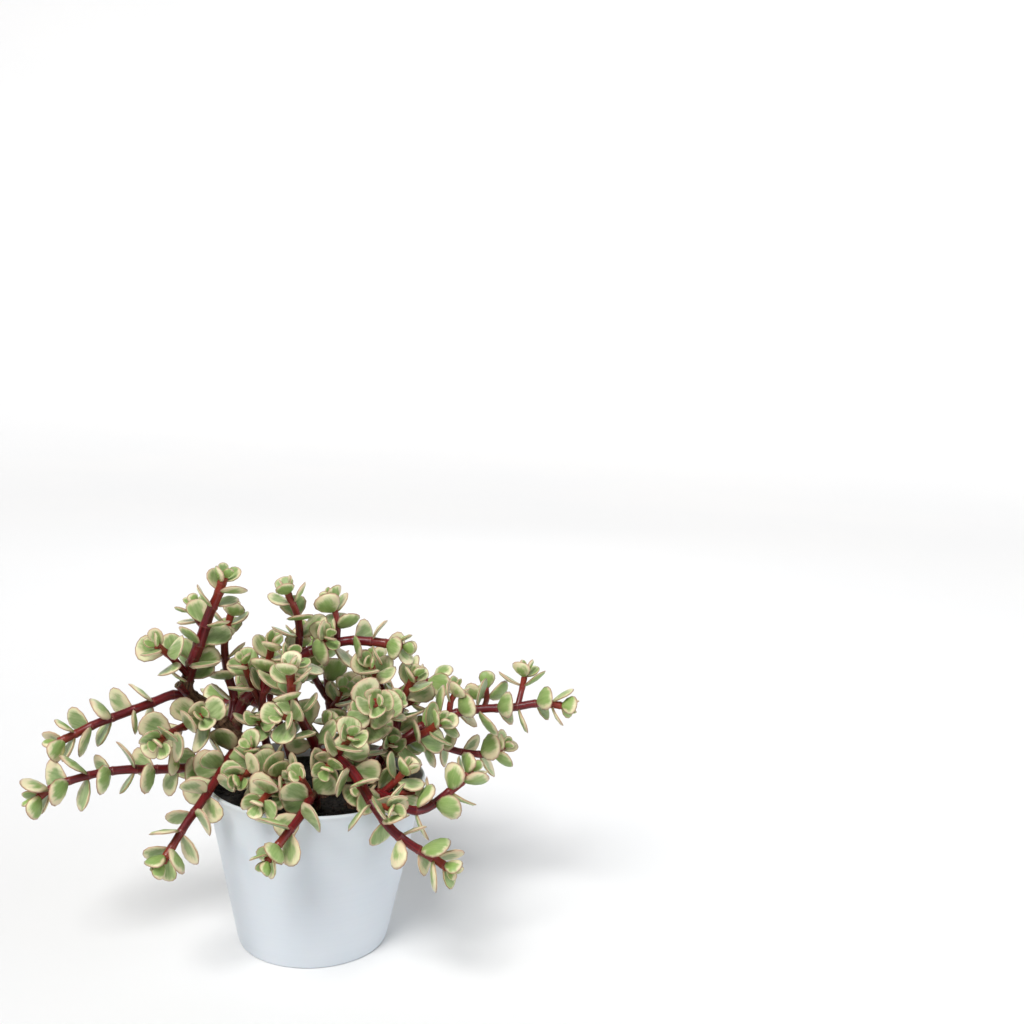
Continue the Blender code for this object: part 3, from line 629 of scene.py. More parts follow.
SHOOTS = [
    # The woody stem leans left and carries the tallest shoots
    Shoot("woody_stem", [(-30, 20, 87), (-40, 22, 101), (-50, 22, 111), (-60, 20, 124),
          (-71, 15, 135), (-69, 12, 149), (-63, 10, 167), (-59, 8, 180), (-54, 6, 192), (-51, 5, 202)],
          5.4, 2.4, 84, 20, 2),
    Shoot("woody_stem", [(-68, 16, 132), (-78, 13, 134), (-89, 8, 131), (-104, 0, 127), (-115, -5, 124),
          (-127, -10, 119), (-134, -12, 116)], 2.7, 2.1, 10, 75, 0),
    Shoot("woody_stem", [(-70, 12, 145), (-78, 2, 158), (-85, -6, 167)], 1.9, 1.9, 6, 30, 0),
    Shoot("woody_stem", [(-46, 22, 107), (-42, 28, 124), (-26, 30, 139), (-8, 28, 153), (13, 25, 161),
          (27, 22, 162), (39, 20, 161), (47, 18, 160)], 3.7, 2.4, 22, 10, 2),
    Shoot("woody_stem", [(-12, 28, 151), (-11, 27, 166), (-13, 25, 178), (-17, 24, 187), (-18, 23, 192)],
          2.3, 1.9, 6, 60, 0),
    Shoot("woody_stem", [(10, 25, 159), (10, 30, 171), (8, 33, 178), (5, 34, 184)], 1.9, 1.7, 6, 15, 0),
    Shoot("woody_stem", [(-55, 21, 117), (-63, 5, 121), (-72, -8, 122), (-78, -22, 122), (-81, -32, 122)],
          2.4, 2.0, 12, 45, 1),
    Shoot("woody_stem", [(-49, 22, 110), (-47, 31, 126), (-51, 35, 140), (-53, 37, 156), (-51, 37, 168),
          (-49, 37, 176)], 2.7, 2.0, 14, 0, 0),
    Shoot("woody_stem", [(-36, 21, 97), (-43, 8, 103), (-46, -4, 105), (-50, -27, 103), (-57, -46, 96),
          (-64, -57, 88), (-70, -64, 79), (-74, -68, 73)], 2.8, 2.0, 16, 25, 0),
    # A stem that arches low over the rim to the left
    Shoot("left_stem", [(-34, 4, 87), (-41, 2, 96), (-54, -1, 99), (-68, -5, 99), (-82, -10, 100),
          (-97, -15, 102), (-112, -20, 102), (-128, -25, 99), (-137, -28, 95), (-141, -29, 91)],
          2.9, 2.0, 26, 80, 0),
    # A slender upright stem behind the middle, with a bunched head
    Shoot("upright_stem", [(-20, 12, 87), (-27, 14, 102), (-30, 14, 118), (-30, 10, 137),
          (-27, 8, 154), (-25, 5, 165)], 2.5, 2.0, 34, 30, 1),
    Shoot("upright_stem", [(-30, 14, 125), (-37, 8, 143), (-40, 3, 155)], 1.8, 1.7, 8, 10, 0),
    Shoot("upright_stem", [(-30, 11, 134), (-21, 1, 149), (-14, -6, 160)], 1.8, 1.7, 8, 60, 0),
    # The middle stem forks: one arm stands up and one hangs over the rim to the right
    Shoot("middle_stem", [(4, -8, 87), (2, -13, 99), (-1, -18, 115), (-7, -22, 128),
          (-13, -24, 142), (-14, -26, 152), (-15, -27, 160)], 3.3, 2.3, 36, 40, 2),
    Shoot("middle_stem", [(-1, -18, 111), (9, -36, 115), (19, -51, 111), (28, -66, 101), (37, -74, 91),
          (46, -76, 84), (58, -78, 77), (66, -80, 72)], 3.0, 2.1, 12, 15, 2),
    Shoot("middle_stem", [(9, -36, 114), (14, -44, 124), (17, -51, 131)], 1.9, 1.9, 5, 65, 0),
    # A stem that hangs over the front of the rim
    Shoot("front_stem", [(0, -27, 86), (-1, -38, 96), (-3, -52, 99), (-7, -66, 96), (-14, -76, 90),
          (-20, -82, 84), (-23, -85, 80)], 2.7, 2.0, 28, 35, 1),
    Shoot("front_stem", [(-1, -36, 94), (-13, -41, 101), (-23, -51, 102), (-28, -62, 100)],
          1.9, 1.7, 8, 70, 0),
    Shoot("left_front_stem", [(-19, -12, 86), (-27, -21, 98), (-34, -31, 105), (-40, -42, 106)],
          2.3, 1.9, 20, 20, 2),
    Shoot("left_front_stem", [(-27, -21, 97), (-22, -34, 104), (-17, -45, 107)], 1.8, 1.7, 5, 55, 0),
    # A stem that leans to the front and shows its end
    Shoot("right_middle_stem", [(20, 3, 87), (25, -1, 109), (28, -15, 127), (29, -32, 140),
          (29, -45, 147)], 2.9, 2.3, 30, 0, 2),
    Shoot("right_upright_stem", [(38, 24, 87), (43, 25, 101), (46, 26, 116), (48, 24, 127),
          (51, 20, 136), (54, 17, 144)], 2.9, 2.1, 26, 50, 2),
    Shoot("right_upright_stem", [(44, 25, 110), (38, 26, 128), (32, 22, 142), (29, 15, 150)],
          2.2, 1.9, 8, 20, 0),
    # The right stem sends a long arm out to the side
    Shoot("right_stem", [(31, 9, 87), (36, 7, 99), (46, 3, 108), (60, -3, 117), (67, -7, 124)],
          3.0, 2.1, 26, 65, 1),
    Shoot("right_stem", [(44, 4, 106), (60, 10, 117), (72, 12, 121), (83, 12, 124), (95, 10, 126),
          (108, 8, 127), (122, 6, 130), (132, 4, 130), (140, 3, 129)], 2.8, 2.1, 16, 70, 1),
    Shoot("right_stem", [(93, 10, 126), (96, 20, 129), (96, 28, 135)], 1.7, 1.7, 5, 20, 0),
    Shoot("right_stem", [(112, 7, 128), (115, 12, 137), (117, 14, 147)], 1.7, 1.7, 5, 0, 0),
    Shoot("right_back_stem", [(31, 37, 86), (45, 37, 97), (64, 34, 98), (84, 31, 93), (101, 30, 92),
          (109, 28, 98)], 2.6, 2.0, 34, 30, 0),
    # A stem that dips over the rim and turns up again
    Shoot("right_low_stem", [(19, -24, 86), (27, -38, 97), (37, -51, 98), (47, -57, 94),
          (56, -54, 93), (67, -47, 98), (75, -44, 103), (81, -41, 109)], 2.8, 2.0, 34, 10, 1),
    Shoot("right_low_stem", [(24, -34, 94), (24, -44, 101), (22, -54, 105)], 2.0, 1.8, 5, 40, 0),
    Shoot("right_low_stem", [(33, -46, 98), (41, -47, 106), (46, -48, 113)], 2.0, 1.8, 5, 75, 0),
    # Three stems fill the back
    Shoot("back_left_stem", [(-14, 38, 87), (-22, 51, 104), (-35, 65, 112), (-51, 79, 111),
          (-66, 91, 103), (-76, 98, 96)], 2.9, 2.0, 26, 40, 0),
    Shoot("back_left_stem", [(-26, 55, 107), (-29, 63, 123), (-29, 68, 137)], 2.1, 1.9, 8, 0, 0),
    Shoot("back_stem", [(8, 36, 87), (8, 47, 106), (6, 58, 124), (4, 72, 137), (2, 86, 142),
          (1, 96, 141)], 3.1, 2.1, 30, 25, 1),
    Shoot("back_stem", [(8, 49, 110), (16, 62, 115), (22, 77, 115), (25, 90, 109), (26, 99, 102)],
          2.4, 1.9, 10, 55, 0),
    Shoot("back_stem", [(7, 54, 117), (-3, 57, 132), (-9, 58, 146), (-10, 57, 158)], 2.2, 1.9, 8, 10, 0),
    Shoot("back_right_stem", [(22, 25, 87), (30, 42, 105), (42, 56, 117), (56, 67, 123),
          (69, 76, 123), (79, 84, 118)], 2.9, 2.0, 30, 60, 1),
    Shoot("back_right_stem", [(36, 50, 112), (36, 60, 127), (34, 67, 140)], 2.1, 1.9, 8, 30, 0),
]
print(len(SHOOTS), "shoots in", len({shoot.stem for shoot in SHOOTS}), "stems")

# %% [markdown]
# A few points make a route, not a stem. A smooth curve through them gives the centre line, and a sideways
# direction carried along it gives every point its own frame, from which rings and leaves are placed.

# %% Centre lines


def rooted_shoots():
    """The first shoot of each stem, which stands in the soil."""
    return [shoot for k, shoot in enumerate(SHOOTS) if k == 0 or SHOOTS[k - 1].stem != shoot.stem]


ROOTED = rooted_shoots()


def root_points(shoot):
    """Two points below a rooted stem's route, which hold it upright in its hole. A side shoot has none."""
    if shoot not in ROOTED:
        return []
    x, y, _ = shoot.route[0]
    heights = (SOIL_LEVEL - ROOT_DEPTH, SOIL_LEVEL + ROOT_COLLAR)
    return [Vector((x * MM, y * MM, height)) for height in heights]


class Axis:
    """The smooth centre line of a shoot, with its radius and a frame at each distance from its foot."""

    def __init__(self, shoot):
        self.shoot = shoot
        self.points = self.smooth(root_points(shoot) + [Vector(p) * MM for p in shoot.route])
        steps = [(b - a).length for a, b in zip(self.points, self.points[1:])]
        self.distances = np.concatenate([[0.0], np.cumsum(steps)])
        self.length = float(self.distances[-1])
        self.sides = self.carry_side()

    @staticmethod
    def smooth(route):
        """A Catmull-Rom curve: it passes through every point of the route without a corner."""
        ends = [2 * route[0] - route[1]] + route + [2 * route[-1] - route[-2]]
        curve = []
        for a, b, c, d in zip(ends, ends[1:], ends[2:], ends[3:]):
            pieces = max(2, math.ceil((c - b).length / CURVE_STEP))
            for k in range(pieces):
                t = k / pieces
                curve.append(0.5 * (2 * b + (c - a) * t + (2 * a - 5 * b + 4 * c - d) * t * t
                                    + (3 * b - a - 3 * c + d) * t ** 3))
        return curve + [route[-1]]

    def carry_side(self):
        """A sideways direction at each point, carried along so that it never spins round the line."""
        side = Vector((0, 0, 1)).cross(self.points[-1] - self.points[0])
        side = side.normalized() if side.length > 2 * MM else Vector((1, 0, 0))
        sides = []
        for a, b in zip(self.points, self.points[1:]):
            along = (b - a).normalized()
            side = (side - along * side.dot(along)).normalized()
            sides.append(side)
        return sides + [sides[-1]]

    def at(self, distance):
        """The point, direction and two sideways directions at a distance from the foot."""
        k = int(np.searchsorted(self.distances, distance, side="right")) - 1
        k = min(max(k, 0), len(self.points) - 2)
        a, b = self.points[k], self.points[k + 1]
        share = (distance - self.distances[k]) / (self.distances[k + 1] - self.distances[k])
        along = (b - a).normalized()
        side = self.sides[k]
        return a.lerp(b, share), along, side, along.cross(side)

    def radius(self, distance):
        """The radius falls evenly from foot to tip."""
        share = distance / self.length
        return (self.shoot.base + (self.shoot.tip - self.shoot.base) * share) * MM


# %% [markdown]
# Leaves on a living plant don't pass through each other. To keep them apart, each stem and leaf has a
# coarse form with few faces, and a new leaf is tried against those in place. A first test of distances
# between balls spares most of the exact tests.

# %% The coarse forms that keep leaves apart
# The leaf's half outline as share of its width and length, from its root to its tip
LEAF_OUTLINE = [(0.36, 0.28), (0.5, 0.64), (0.26, 0.97)]
LEAF_MIDDLE = 0.56


def tube(axis):
    """The points and faces of a shoot's stem: rings of points along its centre line."""
    foot_radius = axis.shoot.base * MM
    sides = TRUNK_SIDES if foot_radius > TRUNK_FROM_RADIUS else (
        STEM_SIDES if foot_radius > STEM_FROM_RADIUS else TWIG_SIDES)
    count = max(2, round(axis.length / RING_STEP))
    points = []
    for k in range(count + 1):
        middle, _, right, up = axis.at(axis.length * k / count)
        radius = axis.radius(axis.length * k / count)
        if k == count:
            radius -= TIP_TAPER * 0.5
        for n in range(sides):
            turn = 2 * math.pi * n / sides
            points.append(middle + radius * (math.cos(turn) * right + math.sin(turn) * up))
    faces = []
    for k in range(count):
        for n in range(sides):
            low, next_low = k * sides + n, k * sides + (n + 1) % sides
            faces.append((low, next_low, next_low + sides, low + sides))
    foot, tip = len(points), len(points) + 1
    points.append(axis.points[0])
    end, along, _, _ = axis.at(axis.length)
    points.append(end + along * TIP_TAPER)
    for n in range(sides):
        last = count * sides
        faces.append((foot, (n + 1) % sides, n))
        faces.append((tip, last + n, last + (n + 1) % sides))
    return points, faces


def leaf_points(place, length, spare=0.0):
    """A fleshy spoon-shaped leaf: a cupped outline from the root, and the crown of each face."""
    width = LEAF_WIDTH * length
    half = [(w * width + spare, t * length + spare * (2 * t - 1)) for w, t in LEAF_OUTLINE]
    outline = [(0, 0)] + half + [(-x, y) for x, y in reversed(half)]
    points = [Vector((x, y, LEAF_CUP * length * (2 * y / length - 1) ** 2)) for x, y in outline]
    crown = LEAF_THICKNESS / 2 + spare
    points += [Vector((0, LEAF_MIDDLE * length, z)) for z in (crown, -crown)]
    return [place @ p for p in points]


def leaf_faces():
    """A fan of faces round the upper crown, and one the other way round about the lower."""
    rim = 2 * len(LEAF_OUTLINE) + 1
    upper = [(k, (k + 1) % rim, rim) for k in range(rim)]
    return upper + [((k + 1) % rim, k, rim + 1) for k in range(rim)]


class Crowd:
    """The solids that are in place already, so that the next one can be kept clear of them."""

    def __init__(self):
        self.owners = []
        self.trees = []
        self.middles = np.zeros((0, 3))
        self.reaches = np.zeros(0)

    @staticmethod
    def ball(points):
        """The middle of some points, and how far the furthest of them reaches."""
        cloud = np.array([p[:] for p in points])
        middle = cloud.mean(axis=0)
        return middle, float(np.linalg.norm(cloud - middle, axis=1).max())

    def add(self, points, faces, owner):
        """One more solid takes its place. A stem's owner is its own shoot, and all leaves share one."""
        middle, reach = self.ball(points)
        self.owners.append(owner)
        self.trees.append(BVHTree.FromPolygons(points, faces))
        self.middles = np.vstack([self.middles, middle])
        self.reaches = np.append(self.reaches, reach)

    def touches(self, points, faces, own):
        """Whether a solid meets any of those in place, apart from the stem that it grows on."""
        middle, reach = self.ball(points)
        apart = np.linalg.norm(self.middles - middle, axis=1)
        near = np.nonzero(apart < self.reaches + reach)[0]
        tree = BVHTree.FromPolygons(points, faces)
        return any(self.owners[k] != own and tree.overlap(self.trees[k]) for k in near)


def meets_pot(points):
    """Whether a leaf meets the pot or the soil. It is clear above the rim, outside the wall or over soil."""
    if all(p.z > POT_HEIGHT + POT_SPARE for p in points):
        return False
    low = [p for p in points if p.z < POT_HEIGHT + 4 * POT_SPARE]
    if all(p.xy.length > wall_radius(p.z) + POT_SPARE for p in low):
        return False
    within = RIM_RADIUS - WALL - 3 * POT_SPARE
    return not all(p.xy.length < within and p.z > SOIL_LEVEL + 2 * SOIL_RELIEF for p in points)


# %% [markdown]
# The pairs are placed from the tip down. A leaf that would meet another first turns or tilts a little,
# then stays smaller, and is left out only if nothing helps. Sprigs, which are short side shoots, grow
# towards open air.

# %% Leaves along a shoot


def leaf_place(axis, distance, turn, tilt, roll):
    """A leaf's own frame: its root in the stem, its length outwards and its upper face to the tip."""
    middle, along, right, up = axis.at(distance)
    out = math.cos(turn) * right + math.sin(turn) * up
    length = (math.cos(tilt) * along + math.sin(tilt) * out).normalized()
    face = (math.sin(tilt) * along - math.cos(tilt) * out).normalized()
    side = length.cross(face)
    rolled_face = math.cos(roll) * face + math.sin(roll) * side
    rolled_side = math.cos(roll) * side - math.sin(roll) * face
    frame = Matrix((rolled_side, length, rolled_face)).transposed().to_4x4()
    frame.translation = middle + out * axis.radius(distance) * LEAF_ROOT
    return frame


# The changes of turn and tilt in degrees that a leaf may make to stay clear, smallest first
TURNS, TILTS = (0, 14, -14, 28, -28, 42, -42), (0, 12, -12, 24, -24)
TILT_COUNTS = 1.2
EASINGS = sorted(((turn, tilt) for turn in TURNS for tilt in TILTS),
                 key=lambda change: abs(change[0]) + TILT_COUNTS * abs(change[1]))
SHRINKS = (1.0, 0.84, 0.7)


def leaves_on(axis, number, crowd):
    """The places and lengths of a shoot's leaves, from its tip to its foot."""
    draw = random.Random(SEED * 1000 + number)
    placed = []
    distance = axis.length
    pair = 0
    while True:
        step = min(pair, len(LEAF_GAPS) - 1)
        distance -= LEAF_GAPS[step] * draw.uniform(*GAP_CHANGE)
        if distance < axis.shoot.bare * MM:
            return placed
        first = math.radians(axis.shoot.turn + 90 * pair + draw.uniform(-TURN_CHANGE, TURN_CHANGE))
        for side in (0, math.pi):
            length = LEAF_LENGTHS[step] * draw.uniform(*LENGTH_CHANGE)
            tilt = math.radians(LEAF_TILTS[step] + draw.uniform(-TILT_CHANGE, TILT_CHANGE))
            roll = math.radians(draw.uniform(-ROLL_CHANGE, ROLL_CHANGE))
            found = clear_place(axis, distance, first + side, tilt, roll, length, crowd)
            if found:
                placed.append((*found, distance))
                crowd.add(leaf_points(*found), leaf_faces(), "leaf")
        pair += 1


def clear_place(axis, distance, turn, tilt, roll, length, crowd):
    """The first place, near the one wanted, where the leaf is clear of all others, or None."""
    for shrink in SHRINKS:
        for more_turn, more_tilt in EASINGS:
            eased = turn + math.radians(more_turn), tilt + math.radians(more_tilt)
            place = leaf_place(axis, distance, *eased, roll)
            points = leaf_points(place, length * shrink, LEAF_SPARE)
            if not meets_pot(points) and not crowd.touches(points, leaf_faces(), id(axis)):
                return place, length * shrink
    return None


def sprigs_of(axis, number, axes):
    """Short side shoots, each turned to where the other stems are furthest away."""
    draw = random.Random(SEED * 2000 + number)
    made = []
    for k in range(axis.shoot.sprigs):
        leafy = axis.length - axis.shoot.bare * MM
        distance = axis.shoot.bare * MM + leafy * (k + SPRIG_FIRST) / (axis.shoot.sprigs + SPRIG_ENDS)
        middle, along, right, up = axis.at(distance)
        others = np.array([p[:] for other in axes if other is not axis for p in other.points])
        start = draw.uniform(0, 2 * math.pi)
        best = None
        for n in range(SPRIG_TRIES):
            turn = start + 2 * math.pi * n / SPRIG_TRIES
            out = math.cos(turn) * right + math.sin(turn) * up
            bend, end = (middle + SPRIG_LENGTH * (a * out + b * along) for a, b in (SPRIG_BEND, SPRIG_END))
            room = float(np.linalg.norm(others - np.array(end[:]), axis=1).min())
            room = min(room, (end.z - POT_HEIGHT) * RIM_ROOM)
            if best is None or room > best[0]:
                best = (room, bend, end)
        route = [tuple(point / MM) for point in (middle, best[1], best[2])]
        radius = min(SPRIG_RADIUS / MM, STEM_SHARE * axis.radius(distance) / MM)
        twig = Shoot(axis.shoot.stem, route, radius, SPRIG_TAPER * radius, SPRIG_BARE, draw.uniform(0, 90), 0)
        made.append(Axis(twig))
    return made


def grow():
    """Every shoot with its leaves, as a list of centre lines and a list of leaves for each."""
    axes = [Axis(shoot) for shoot in SHOOTS]
    for number, axis in enumerate(list(axes)):
        axes += sprigs_of(axis, number, axes)
    crowd = Crowd()
    for axis in axes:
        crowd.add(*tube(axis), id(axis))
    return axes, [leaves_on(axis, number, crowd) for number, axis in enumerate(axes)]


# %% Grow the plant
axes, leaves = grow()
STEM_NAMES = [shoot.stem for shoot in ROOTED]
print(len(axes), "shoots and", sum(len(own) for own in leaves), "leaves on", len(STEM_NAMES), "stems")

# %% [markdown]
# ## The leaf
#
# A leaf of this plant is a fleshy spoon: narrow at the root, widest past the middle, blunt at the tip,
# slightly dished, thicker along the middle and rounded at its margin. It could be a flat card with a
# picture of a leaf, but it has real thickness that shows from the side. So it is a closed lens: two
# rings between the middle and the margin on the upper face, and one on the lower. With hundreds of
# leaves, some sixty faces a leaf are enough, and smooth shading rounds them. An odd number of points
# round the margin leaves none at the very tip, which makes it blunt.

# %% Leaf surface
LEAF_AROUND = 13
# The leaf's rings as shares of its outline: two on the upper face, the margin and one on the lower. Then
# how far each side bulges, as a share of half the thickness, and the face, from 1 above to 0 below
LEAF_RINGS = np.array([0.52, 0.88, 1.0, 0.8])
RING_SIDES = np.array([0.85, 0.85, 0.85, -1.15])
RING_FACES = [1, 1, 0.5, 0]
FINE_THICKNESS = 1.9 * MM
FULL_LENGTH = 16 * MM
THIN_SHARE = 0.75
TIP_CLOSER = 0.3
SPOON_WIDTH, SPOON_POWER = 1.25, 0.8
WIDTH_CHANGE = (0.94, 1.07)
YOUNG_LENGTH = 7 * MM
BOW_CHANGE, BOW_YOUNG = 0.018, 0.02
DISH, DISH_CHANGE, DISH_YOUNG = 0.055, 0.025, 0.05
DISH_SINKS = 0.35
EDGE_WAVE = 0.02


def leaf_outline(length, width):
    """The margin by an angle a from the root: x is sin a times sin(a/2) to a power, y is (1 - cos a)/2.

    The angles lie closer towards the tip, where the margin bends most.
    """
    turn = np.linspace(0, 2 * np.pi, LEAF_AROUND, endpoint=False)
    turn = turn + TIP_CLOSER * np.sin(turn)
    spoon = SPOON_WIDTH * np.sin(turn) * np.abs(np.sin(turn / 2)) ** SPOON_POWER
    x = width[:, None] / 2 * spoon
    y = length[:, None] * (1 - np.cos(turn)) / 2
    return x, y


def leaf_shapes(lengths, seed):
    """Leaves in their own frames: a share r of the outline, and a height by the root of 1 - r to the 4th."""
    draw = np.random.default_rng(seed)
    count = len(lengths)
    width = LEAF_WIDTH * lengths * draw.uniform(*WIDTH_CHANGE, count)
    rim_x, rim_y = leaf_outline(lengths, width)
    heart = LEAF_MIDDLE * lengths[:, None, None]
    share = LEAF_RINGS[None, :, None]
    x = rim_x[:, None, :] * share
    y = heart + (rim_y[:, None, :] - heart) * share
    length, half = lengths[:, None, None], (width / 2)[:, None, None]
    young = np.clip(1 - (lengths - YOUNG_LENGTH) / YOUNG_LENGTH, 0, 1)
    bow = (LEAF_CUP + draw.normal(0, BOW_CHANGE, count) + BOW_YOUNG * young)[:, None, None]
    dish = (DISH + draw.normal(0, DISH_CHANGE, count) + DISH_YOUNG * young)[:, None, None]
    wave = draw.normal(0, EDGE_WAVE, (count, 1, 1))
    middle = length * (bow * (2 * y / length - 1) ** 2 + dish * (x / half) ** 2 - DISH_SINKS * dish
                       + wave * (x / half) * (2 * y / length - 1))
    full = THIN_SHARE + (1 - THIN_SHARE) * lengths / FULL_LENGTH
    thick = FINE_THICKNESS / 2 * full[:, None, None]
    rings = np.stack([x, y, middle + RING_SIDES[None, :, None] * thick * np.sqrt(1 - share ** 4)], axis=-1)
    heart_z = lengths * (bow[:, 0, 0] * (2 * LEAF_MIDDLE - 1) ** 2 - DISH_SINKS * dish[:, 0, 0])
    tall = heart_z[:, None] + RING_SIDES[[0, 3]] * thick[:, 0]
    heart_y = np.repeat(LEAF_MIDDLE * lengths[:, None], 2, axis=1)
    poles = np.stack([np.zeros_like(tall), heart_y, tall], axis=-1)
    return np.concatenate([rings.reshape(count, -1, 3), poles], axis=1), width, young


def leaf_face_rows():
    """One leaf's faces: bands between its rings, closed by a fan at each pole."""
    ring = np.arange(LEAF_AROUND)
    top = len(LEAF_RINGS) * LEAF_AROUND
    return [grid_quads(len(LEAF_RINGS), LEAF_AROUND)[:, ::-1], fans(ring, top),
            fans(ring + top - LEAF_AROUND, top + 1, turned=True)]


# %% [markdown]
# Hundreds of leaves can share one finish and still differ, if each one carries numbers of its own. Every
# point of a leaf tells its place on the leaf, how near the margin it is and which face it lies on, and
# with them go three numbers that hold for the whole leaf: a free draw, its youth, and its draw of cream.

# %% What each leaf carries
CREAM_DRAW = (2.2, 3.0)
PALE_LEAVES, PALE_MORE = 0.07, 0.35
PATTERNS_APART = 40


def leaf_values(shapes, lengths, width, young, seed):
    """What the finish reads: place on the leaf, nearness to the margin, face, and three numbers a leaf."""
    draw = np.random.default_rng(seed)
    count, per_leaf = shapes.shape[:2]
    across = shapes[..., 0] / width[:, None]
    along = shapes[..., 1] / lengths[:, None]
    margin = np.concatenate([np.repeat(LEAF_RINGS, LEAF_AROUND), [0, 0]])
    face = np.concatenate([np.repeat(RING_FACES, LEAF_AROUND), [1, 0]])
    seeds = draw.uniform(0, 1, count)
    cream = draw.beta(*CREAM_DRAW, count) + PALE_MORE * (draw.uniform(0, 1, count) < PALE_LEAVES)
    cream = np.clip(cream, 0, 1)
    spot = np.stack([across, along, np.repeat(seeds[:, None] * PATTERNS_APART, per_leaf, axis=1)], axis=-1)
    drawn = np.stack([np.broadcast_to(v[:, None], (count, per_leaf)) for v in (seeds, young, cream)], axis=-1)
    return {"leaf_spot": spot.reshape(-1, 3), "leaf_draw": drawn.reshape(-1, 3),
            "margin": np.tile(margin, count), "upper_face": np.tile(face, count)}


def leaves_piece(name, places, lengths, seed):
    """All leaves of one stem as one piece: each leaf's points are turned and moved by its own matrix."""
    shapes, width, young = leaf_shapes(lengths, seed)
    points = np.einsum("nij,npj->npi", places[:, :3, :3], shapes) + places[:, None, :3, 3]
    faces = copies_of(leaf_face_rows(), len(lengths), shapes.shape[1])
    values = leaf_values(shapes, lengths, width, young, seed + 1)
    return piece_from(name, points.reshape(-1, 3), faces, values)


# %% [markdown]
# ## The leaf's colours
#
# Seen close, each leaf has a green middle with paler and darker streaks from root to tip, a cream
# margin of uneven width, and along the very edge a thin line of rose brown. The young leaves at the
# tips and the undersides are a fresher green, and now and then a leaf is almost all cream. A painted
# picture would repeat on every leaf; here each leaf carries its own numbers, drawn once, and the nodes
# turn them into its own pattern.

# %% Leaf finish
SAGE = (0.275, 0.395, 0.140, 1)
PALE_SAGE = (0.450, 0.550, 0.265, 1)
DEEP_GREEN = (0.085, 0.165, 0.038, 1)
FRESH_GREEN = (0.265, 0.405, 0.105, 1)
CREAM = (0.740, 0.725, 0.450, 1)
WARM_CREAM = (0.750, 0.650, 0.425, 1)
ROSE_FLUSH = (0.620, 0.430, 0.295, 1)
ROSE_EDGE = (0.290, 0.115, 0.075, 1)
# How much a leaf's own draw and its threads darken it, and how fresh youth and the underside make it
OWN_DEPTH, THREAD_DEPTH = 0.26, 0.32
YOUNG_FRESH, UNDER_FRESH, FRESHEST = 0.5, 0.45, 0.75
# Where the cream starts on a leaf that drew none, how far that moves for a full draw, and its soft width
CREAM_LATEST, CREAM_EARLIER, CREAM_SOFT = 0.78, -0.74, 0.52
STREAK_UNEVEN, PATCH_UNEVEN = 0.24, 0.26
# The wedge of green at the root, by the share of the leaf's length
WEDGE_ENDS, WEDGE_DEPTH = 0.42, -0.4
SIDE_SWING, SWING_TURNS = 0.75, 57.0
FLUSH_FROM, FLUSH_DEPTH = (0.80, 0.96), (0.25, 0.85)
EDGE_FROM, EDGE_DEPTH = (0.9, 1.0), (0.95, 0.5)
LEAF_ROUGHNESS = (0.36, 0.48)


def leaf_green(tree, own_draw, young, upper, streaks, threads):
    """Sage with paler streaks and darker threads; fresher on a young leaf and on the underside."""
    green = mix_colour(tree, streaks, SAGE, PALE_SAGE)
    depth = calc(tree, "MULTIPLY_ADD", own_draw, OWN_DEPTH, calc(tree, "MULTIPLY", threads, THREAD_DEPTH))
    green = mix_colour(tree, depth, green, DEEP_GREEN)
    below = calc(tree, "MULTIPLY", calc(tree, "SUBTRACT", 1.0, upper), UNDER_FRESH)
    fresh = calc(tree, "MINIMUM", calc(tree, "MULTIPLY_ADD", young, YOUNG_FRESH, below), FRESHEST)
    return mix_colour(tree, fresh, green, FRESH_GREEN)


def cream_mask(tree, spot, own_draw, cream_share, margin, streaks, patches):
    """Where the leaf is cream: near the margin, unevenly, more on one side, and not in the root's wedge."""
    across, along, _ = split(tree, spot)
    uneven = calc(tree, "MULTIPLY_ADD", calc(tree, "SUBTRACT", streaks, 0.5), STREAK_UNEVEN,
                  calc(tree, "MULTIPLY", calc(tree, "SUBTRACT", patches, 0.5), PATCH_UNEVEN))
    root_wedge = step_between(tree, along, 0.0, WEDGE_ENDS, WEDGE_DEPTH, 0.0)
    swing = calc(tree, "SINE", calc(tree, "MULTIPLY", own_draw, SWING_TURNS))
    one_side = calc(tree, "MULTIPLY_ADD", calc(tree, "MULTIPLY", swing, across), SIDE_SWING, root_wedge)
    reach = calc(tree, "ADD", calc(tree, "ADD", margin, uneven), one_side)
    start = calc(tree, "MULTIPLY_ADD", cream_share, CREAM_EARLIER, CREAM_LATEST)
    return step_between(tree, reach, start, calc(tree, "ADD", start, CREAM_SOFT))


def rose_over(tree, colour, rose, margin, patches, near, depth):
    """A rose tint over a colour: it comes near the margin, deeper or fainter from patch to patch."""
    share = calc(tree, "MULTIPLY", step_between(tree, margin, *near),
                 step_between(tree, patches, 0.0, 1.0, *depth))
    return mix_colour(tree, share, colour, rose)


